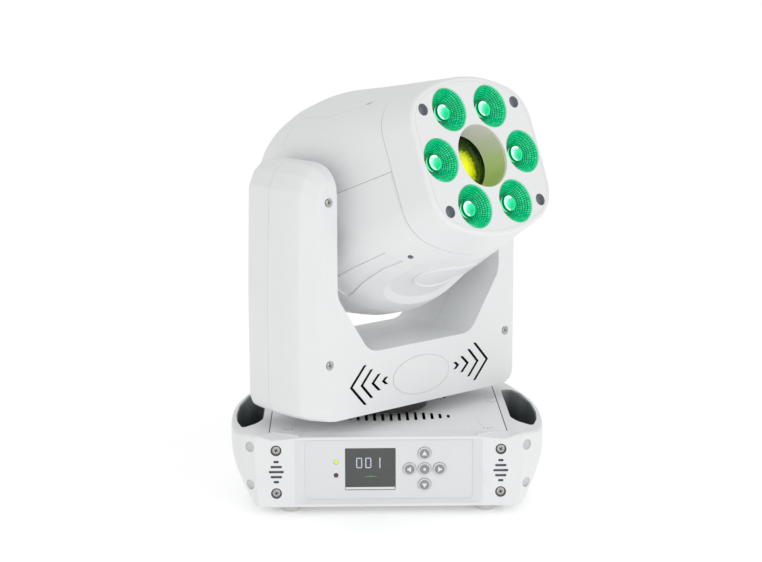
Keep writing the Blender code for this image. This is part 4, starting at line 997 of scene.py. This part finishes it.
def oval_patch(layers, power):
    """A closed body over a patch of the head's underside, whose outline is an oval of that power. Its layers are (half
    the angle that it spans, lowest w, highest w, lift), from the middle of its inner side to the middle of its outer
    side. A lift may be a function of w."""
    steps = 72
    unit = []
    for x, y in circle(1.0, steps):
        size = (abs(x) ** power + abs(y) ** power) ** (-1.0 / power)
        unit.append((x * size, y * size))
    shape = bmesh.new()
    rows = []
    for half_angle, low, high, lift in layers:
        middle, reach = (low + high) / 2, (high - low) / 2
        points = []
        for a, b in unit if half_angle else [(0.0, 0.0)]:
            w = middle + b * reach
            points.append(shape.verts.new(skin(270.0 + a * half_angle, w, lift(w) if callable(lift) else lift)))
        rows.append(points if half_angle else points * steps)
    bridge(shape, rows)
    return shape


def under_depth(w):
    """How deep the oval recess on the underside lies at w: it runs out towards the front."""
    return -0.2 - 3.6 * min(1.0, max(0.0, (93.0 - w) / 55.0))


def under_recess():
    inside = [(0.0, 49.0, 49.0), (8.0, 38.0, 62.0), (16.0, 28.0, 74.0), (24.0, 19.0, 84.0), (30.2, 13.5, 91.0)]
    outside = [(28.0, 12.0, 92.0), (20.0, 20.0, 84.0), (12.0, 30.0, 70.0), (0.0, 49.0, 49.0)]
    layers = [(*span, under_depth) for span in inside]
    layers += [(32.5, 7.0, 95.0, 0.0), (33.0, 5.5, 96.5, 0.8), (33.6, 4.5, 97.0, 5.0)]
    layers += [(*span, 5.0) for span in outside]
    return oval_patch(layers, 3.4)


def side_panel(side):
    """The sunken strip along the lower side of the head, which starts behind the seam and runs back past the yoke."""
    depth, out, front, length, last_step = 1.3, 4.0, 66.0, 76.0, 18
    upper_edge = ((-10.0, 217.6), (29.0, 217.8), (66.0, 218.8))  # w, angle
    lower_edge = ((-10.0, 231.6), (-2.0, 231.2), (16.0, 228.8), (31.0, 228.0), (51.0, 227.4), (66.0, 229.8))
    # Across the strip: the share of its width, and of its depth
    floor = ((0.0, 1.7), (0.045, 1.7), (0.075, 0.8), (0.2, 0.8), (0.4, 1.0), (0.6, 1.0), (0.8, 1.0), (1.0, 1.0))
    rows = []
    for k in range(last_step + 1):
        w = front - length * k / last_step
        first = level(upper_edge, w)
        span = level(lower_edge, w) - first
        slant = 4.0 if k == 0 else 0.0
        inner = [skin(first + span * share, w + slant * share, -depth * part) for share, part in floor]
        angles = [first + span * i / 6 for i in range(7)]
        outer = [skin(a, w + slant * (a - first) / span, out) for a in reversed(angles)]
        rows.append([Vector((-side * point.x, point.y, point.z)) for point in inner + outer])
    return loft(rows)


def mirrored_path(path, side):
    """A path on the head's surface, or its mirror image for the other side."""
    return [(angle if side < 0 else 540.0 - angle, w) for angle, w in path]


TOP_CREASE = ((129.6, 73.0), (131.4, 57.0), (133.5, 34.0), (129.1, 2.0), (129.6, -12.0), (136.4, -17.0), (144.3, -22.0))
TOP_LINE = ((112.4, 48.0), (109.0, 54.0), (106.9, 61.0), (102.7, 81.0))


def make_shell(word, side):
    """The upper half of the head's shell (side 1) or the lower one (side -1)."""
    upper = side > 0
    half_seam = 0.15
    distances = [SEAM_W - 4.0 * k for k in range(54)] + [-115.0, -118.5, -120.8]
    outer = [(w, w, 0.0) for w in distances] + [(-121.6, -121.6, 0.5), (-122.0, -122.0, 1.3)]
    inner = (101.0, 75.0, 50.0, 25.0, 5.0, -15.0, -38.0, -60.0, -80.0, -98.0, -112.0)
    hollow = [(SEAM_W + 1.0, SEAM_W, 0.0), *((w, w, 0.0) for w in inner), (-119.0, -121.0, 0.0)]
    shell = draft(f"head_{word}_half", head_loft(outer), WHITE)
    if upper:
        cut(shell, together(*(groove(mirrored_path(TOP_CREASE, mirror), 1.6, 0.45) for mirror in (-1, 1))))
        cut(shell, groove(TOP_LINE, 1.0, 0.5))
    else:
        cut(shell, under_recess())
        for mirror in (-1, 1):
            cut(shell, side_panel(mirror))
    cut(shell, head_loft(hollow, HEAD_WALL if upper else HEAD_WALL + 3.0), INSIDE_SHADE)
    low, high = sorted((SHELL_SEAM_V + side * half_seam, -side * FAR))
    cut(shell, block((-FAR, -FAR, low), (FAR, FAR, high)), INSIDE_SHADE)
    cut(shell, together(*(disc("x", 10.0, *sorted((x * 80.0, x * 110.0))) for x in (-1, 1))), INSIDE_SHADE)
    vents = [rectangle(-34.0, 34.0, side * v - 2.0, side * v + 2.0, 1.9, 4) for v in REAR_VENTS]
    cut(shell, together(*(prism("w", vent, -140.0, -90.0) for vent in vents)), INSIDE_SHADE)
    # A round sink on each side for a screw, drawn out forwards into a scoop on the upper half
    x, w, floor, length = (60.0, 76.0, 74.5, 6.5) if upper else (62.0, 80.0, -66.0, 2.6)
    outline = rectangle(-2.6, 2.6, -2.6, length, 2.5)
    low, high = sorted((floor, side * 100.0))
    sinks = [prism("z", [(mirror * x + a, -w - b) for a, b in outline], low, high) for mirror in (-1, 1)]
    # The lower sinks take the painted shade grey, the upper ones keep the shell's white
    cut(shell, together(*sinks), WHITE if upper else HOLE_SHADE)
    soften(shell, 0.4, 2, 26.0, 11.0)
    settle(shell, HEAD, "head", "white_plastic", f"head_{word}_shell")


def make_bezel():
    fillet = 4.0
    through = (130.0, 150.0)
    steps = [(SEAM_W + GAP, SEAM_W, 0.4), (SEAM_W + 0.7, SEAM_W, 0.0)]
    steps += [(w, w, 0.0) for w in (113.0, 120.0, 127.0, 134.0)]
    for k in range(8):
        t = math.radians(90 * k / 7)
        steps.append((FACE_W - fillet + fillet * math.sin(t), FACE_W - fillet, fillet * (1 - math.cos(t))))
    bezel = draft("head_bezel_shell", head_loft(steps), WHITE)
    cut(bezel, head_loft([(SEAM_W - 1.0, SEAM_W, 0.0), (125.0, 125.0, 0.0), (139.3, 139.3, 0.0)], HEAD_WALL), INSIDE_SHADE)
    cut(bezel, together(*(disc("w", LENS_RADIUS + 0.4, *through, spot, 72) for spot in lens_spots())))
    cut(bezel, disc("w", TUNNEL_RADIUS, *through, steps=96))
    cut(bezel, together(*(disc("w", 5.7, *through, spot, 48) for spot in FACE_HOLES)), HOLE_SHADE)
    face = head_section(FACE_W - fillet)
    cut(bezel, band(inset(face, 5.2), inset(face, 5.7), FACE_W - 0.35, FACE_W + 1.0))
    soften(bezel, 0.5, 3)
    settle(bezel, HEAD, "head", "white_plastic", "head_front_bezel")
    # Painted shade: grey cups close the face holes and stand in for the shade inside them
    cup = [(5.9, 139.6), (5.9, 135.0), (0.0, 135.0), (0.0, 136.8), (4.9, 137.2), (5.5, 138.4), (5.5, 139.6)]
    cups = [turned("w", cup, spot, 48) for spot in FACE_HOLES]
    piece("face_hole_cups", together(*cups), HOLE_SHADE, HEAD, "head", "tunnel_grey")


def lens_spots():
    turns = [2 * math.pi * k / LENS_COUNT for k in range(LENS_COUNT)]
    return [(LENS_RING * math.cos(t), LENS_RING * math.sin(t)) for t in turns]


def lens_bowl(centre, chance):
    """The faceted bowl of a wash lens: rows of small raised facets with joints between them, washed out with light on
    one side. The tone of each facet and of its joints is stored on the faces."""
    columns, rows = 54, 9
    outer, inner = 19.9, 8.3
    rim_w, depth = 141.2, 14.0
    shape = bmesh.new()
    layer = shape.faces.layers.float.new("tone")
    rings = []
    for k in range(rows + 1):
        share = k / rows
        radius = outer + (inner - outer) * share
        w = rim_w - depth * (1.0 - (1.0 - share) ** 1.6)
        rings.append([shape.verts.new(place("w", a, b, w)) for a, b in circle(radius, columns, centre)])
    tones = {}
    for k, (one, two) in enumerate(zip(rings, rings[1:])):
        for i in range(columns):
            j = (i + 1) % columns
            face = shape.faces.new((one[i], one[j], two[j], two[i]))
            angle = 360.0 * (i + 0.5) / columns
            # Painted light: facets and joints are lighter towards the left as painted highlights, joints are darker
            # towards the right as painted shade, and facets a little darker at the top; the two innermost rows are
            # darker
            left = max(0.0, math.cos(math.radians(angle - 195.0)))
            right = max(0.0, math.cos(math.radians(angle - 10.0)))
            high = math.sin(math.radians(angle))
            tone = 0.64 + 0.36 * left**1.5 - 0.04 * high + 0.16 * (chance.random() - 0.5)
            if k >= rows - 2:
                tone -= 0.12
            joint = 0.24 - 0.30 * right + 0.46 * left
            tones[face] = (max(0.05, min(1.0, tone)), max(0.0, joint))
    for face, (tone, _) in tones.items():
        face.normal_update()
        if face.normal.y > 0:
            face.normal_flip()
        face[layer] = tone
    for face, (_, joint) in tones.items():
        ring = bmesh.ops.inset_individual(shape, faces=[face], thickness=0.22, depth=0.30, use_even_offset=True)
        for edge_face in ring["faces"]:
            edge_face[layer] = joint
    return shape


def make_wash_lens(number, centre, chance):
    bowl = draft(f"wash_lens_bowl_{number}", lens_bowl(centre, chance), FACETS, outwards=False)
    settle(bowl, HEAD, "head", "wash_lens", f"wash_lens_{number}")
    rim = [(19.8, 141.0), (19.95, 141.5), (20.3, 141.6), (20.6, 141.2), (20.6, 138.0), (21.1, 138.0), (21.1, 135.5),
           (19.8, 135.5)]
    piece(f"wash_lens_rim_{number}", turned("w", rim, centre, 96), LENS_LIGHT, HEAD, "head", "wash_lens")
    seat = [(8.5, 127.6), (8.5, 126.0), (0.0, 126.0), (0.0, 127.2), (5.4, 127.4), (6.4, 127.9)]
    piece(f"wash_lens_seat_{number}", turned("w", seat, centre, 48), LENS_DEEP, HEAD, "head", "wash_lens")
    # A clear stub stands in the bowl, with a shallow dish in its end. Its stored tone paints highlights on its rounded
    # rim, its side and the upper left of its end, and shade on its right and lower side; dark bands run below the rim
    # and round its foot.
    stub = [(0.0, 133.4), (2.4, 133.5), (4.4, 134.0), (5.7, 134.8), (6.5, 135.1), (7.2, 134.8), (7.7, 133.8),
            (7.8, 132.9), (7.8, 131.8), (7.6, 130.4), (7.2, 128.4), (0.0, 128.2)]
    core = draft(f"wash_lens_core_{number}", turned("w", stub, centre, 56), FACETS)
    by_height = ((128.0, 0.20), (129.2, 0.75), (130.6, 0.95), (132.0, 0.62), (133.0, 0.06), (134.0, 0.10),
                 (134.7, 0.95), (135.2, 1.0))

    def tone(point):
        a, b = point.x - centre[0], point.z - centre[1]
        if math.hypot(a, b) < 5.6 and -point.y > 132.0:
            return 0.74 - 0.035 * a + 0.02 * b
        value = level(by_height, -point.y)
        return value if a * 0.9 - b * 0.4 < 1.0 else value * 0.7

    store(core, "tone", tone)
    soften(core, 0.0)
    settle(core, HEAD, "head", "wash_lens")


def make_tunnel():
    mouth, outside = 139.0, TUNNEL_RADIUS + 1.6
    wall = [(TUNNEL_RADIUS, mouth)] + [(TUNNEL_RADIUS - 0.012 * k * k, mouth - 1.9 * k) for k in range(1, 14)]
    tube = turned("w", [*wall, (outside, 112.0), (outside, mouth)], steps=96)
    tunnel = draft("tunnel_wall_tube", tube, TUNNEL_PAINTED_LIGHT)

    # Painted light: the wall is lighter towards the top and darker and greener lower down and to the right
    def tint(point):
        return max(0.0, min(1.0, 0.50 - 0.62 * point.z / TUNNEL_RADIUS + 0.10 * point.x / TUNNEL_RADIUS))

    store(tunnel, "tint", tint)
    soften(tunnel, 0.0)
    settle(tunnel, HEAD, "head", "tunnel_grey", "lens_tunnel")

    rows = [(27.8 * math.sin(math.radians(t)) / math.sin(math.radians(40)), t) for t in range(0, 41, 2)]
    crown = [(r, 103.2 + 8.5 * math.cos(math.radians(t * 90 / 40))) for r, t in rows]
    seat = [(28.0, 105.2), (28.0, 107.0), (34.0, 107.0), (34.0, 100.0), (24.0, 100.0), (12.0, 98.0), (0.0, 97.0)]
    lens = draft("spot_front_lens", turned("w", crown + seat, steps=96), SPOT_PAINTED_GLOW)
    # Painted light: the glowing yellow pool is brightest a little off the lens's centre
    store(lens, "reach", lambda point: math.hypot(point.x - 6.5, point.z + 3.0) / 36.0)
    soften(lens, 0.0)
    settle(lens, HEAD, "focus_lens", "spot_lens", "focus_lens")


def make_head():
    make_shell("top", 1)
    make_shell("bottom", -1)
    make_bezel()
    chance = random.Random(7)
    for number, centre in enumerate(lens_spots(), 1):
        make_wash_lens(number, centre, chance)
    make_tunnel()
    places = []
    for side in (-1, 1):
        outward = Vector((side * 0.45, 0.0, 1.0)).to_track_quat("Z", "Y").to_matrix().to_4x4()
        places.append(Matrix.Translation((side * 60.0, -76.0, 74.3)) @ outward)
    screws("head_top_screws", places, 2.0, 1.2, HEAD, "head")
    make_head_badge()


def make_head_badge():
    """A small blank oval plate with a raised rim, lying in the recess on the underside."""
    def lifted(height):
        return lambda w: under_depth(w) + height

    rim = [(22.5, 31.0, 79.0, -0.6), (22.5, 31.0, 79.0, 0.9), (22.1, 31.7, 78.3, 1.5), (20.9, 33.4, 76.6, 1.5),
           (20.0, 34.6, 75.4, 0.4)]
    plate = [(15.0, 42.0, 66.0), (8.0, 48.0, 60.0), (0.0, 54.0, 54.0)]
    layers = [(*span, lifted(-0.6)) for span in reversed(plate)]
    layers += [(*span, lifted(height)) for *span, height in rim]
    layers += [(*span, lifted(0.35)) for span in plate]
    piece("head_badge_blank", oval_patch(layers, 2.1), WHITE, HEAD, "head", "white_plastic")


# ---------------------------------------------------------------- the rest

def dress_frame():
    """Gives every CAD node that still shows the finish that its slot names."""
    slots = {part["node"]: part["material_slot"] for part in frame["record"]["subparts"]}
    for name, obj in frame["nodes"].items():
        material = BY_SLOT[slots[name]]
        obj.data.materials.clear()
        obj.data.materials.append(material)
        shade(obj, 30)


def make_stage():
    mesh = bpy.data.meshes.new("studio_floor")
    size, low = 30.0, FOOT_BOTTOM * MM
    corners = [(-size, -size, low), (size, -size, low), (size, size, low), (-size, size, low)]
    mesh.from_pydata(corners, [], [(0, 1, 2, 3)])
    mesh.materials.append(finish("studio_floor", (0.92, 0.92, 0.92), 0.9, grain=30.0, bump=0.01, mottle=0.003,
                                 Emission_Color=(1.0, 1.0, 1.0, 1.0), Emission_Strength=0.27))
    add("studio_floor", mesh)

    world = bpy.data.worlds.new("studio")
    world.use_nodes = True
    background = world.node_tree.nodes["Background"]
    background.inputs["Color"].default_value = (1.0, 1.0, 1.0, 1.0)
    background.inputs["Strength"].default_value = 0.80
    bpy.context.scene.world = world
    bpy.context.scene.view_settings.view_transform = "Standard"

    target = Vector((0.0, 0.0, 0.2))
    for name, spot, width, power in (("key", (1.6, -1.9, 1.0), 1.4, 8.0), ("fill", (-0.4, -2.4, 0.9), 1.2, 2.0)):
        data = bpy.data.lights.new(name, "AREA")
        data.energy = power
        data.size = width
        lamp = add(name, data)
        lamp.location = spot
        lamp.rotation_euler = (target - lamp.location).to_track_quat("-Z", "Y").to_euler()


def make_camera():
    data = bpy.data.cameras.new("camera")
    data.lens = 87.16
    data.sensor_width = 36.0
    camera = add("camera", data)
    camera.location = (-0.04160, -1.78520, 0.52343)
    aim = Vector((-0.00446, 0.0, 0.19758)) - camera.location
    camera.rotation_euler = aim.to_track_quat("-Z", "Y").to_euler()
    camera.rotation_euler.rotate_axis("Z", math.radians(-0.17))
    bpy.context.scene.camera = camera


make_camera()
make_stage()
dress_frame()
make_housing()
make_top_plate()
make_front_panel()
make_keys()
make_base_trim()
make_yoke()
make_head()
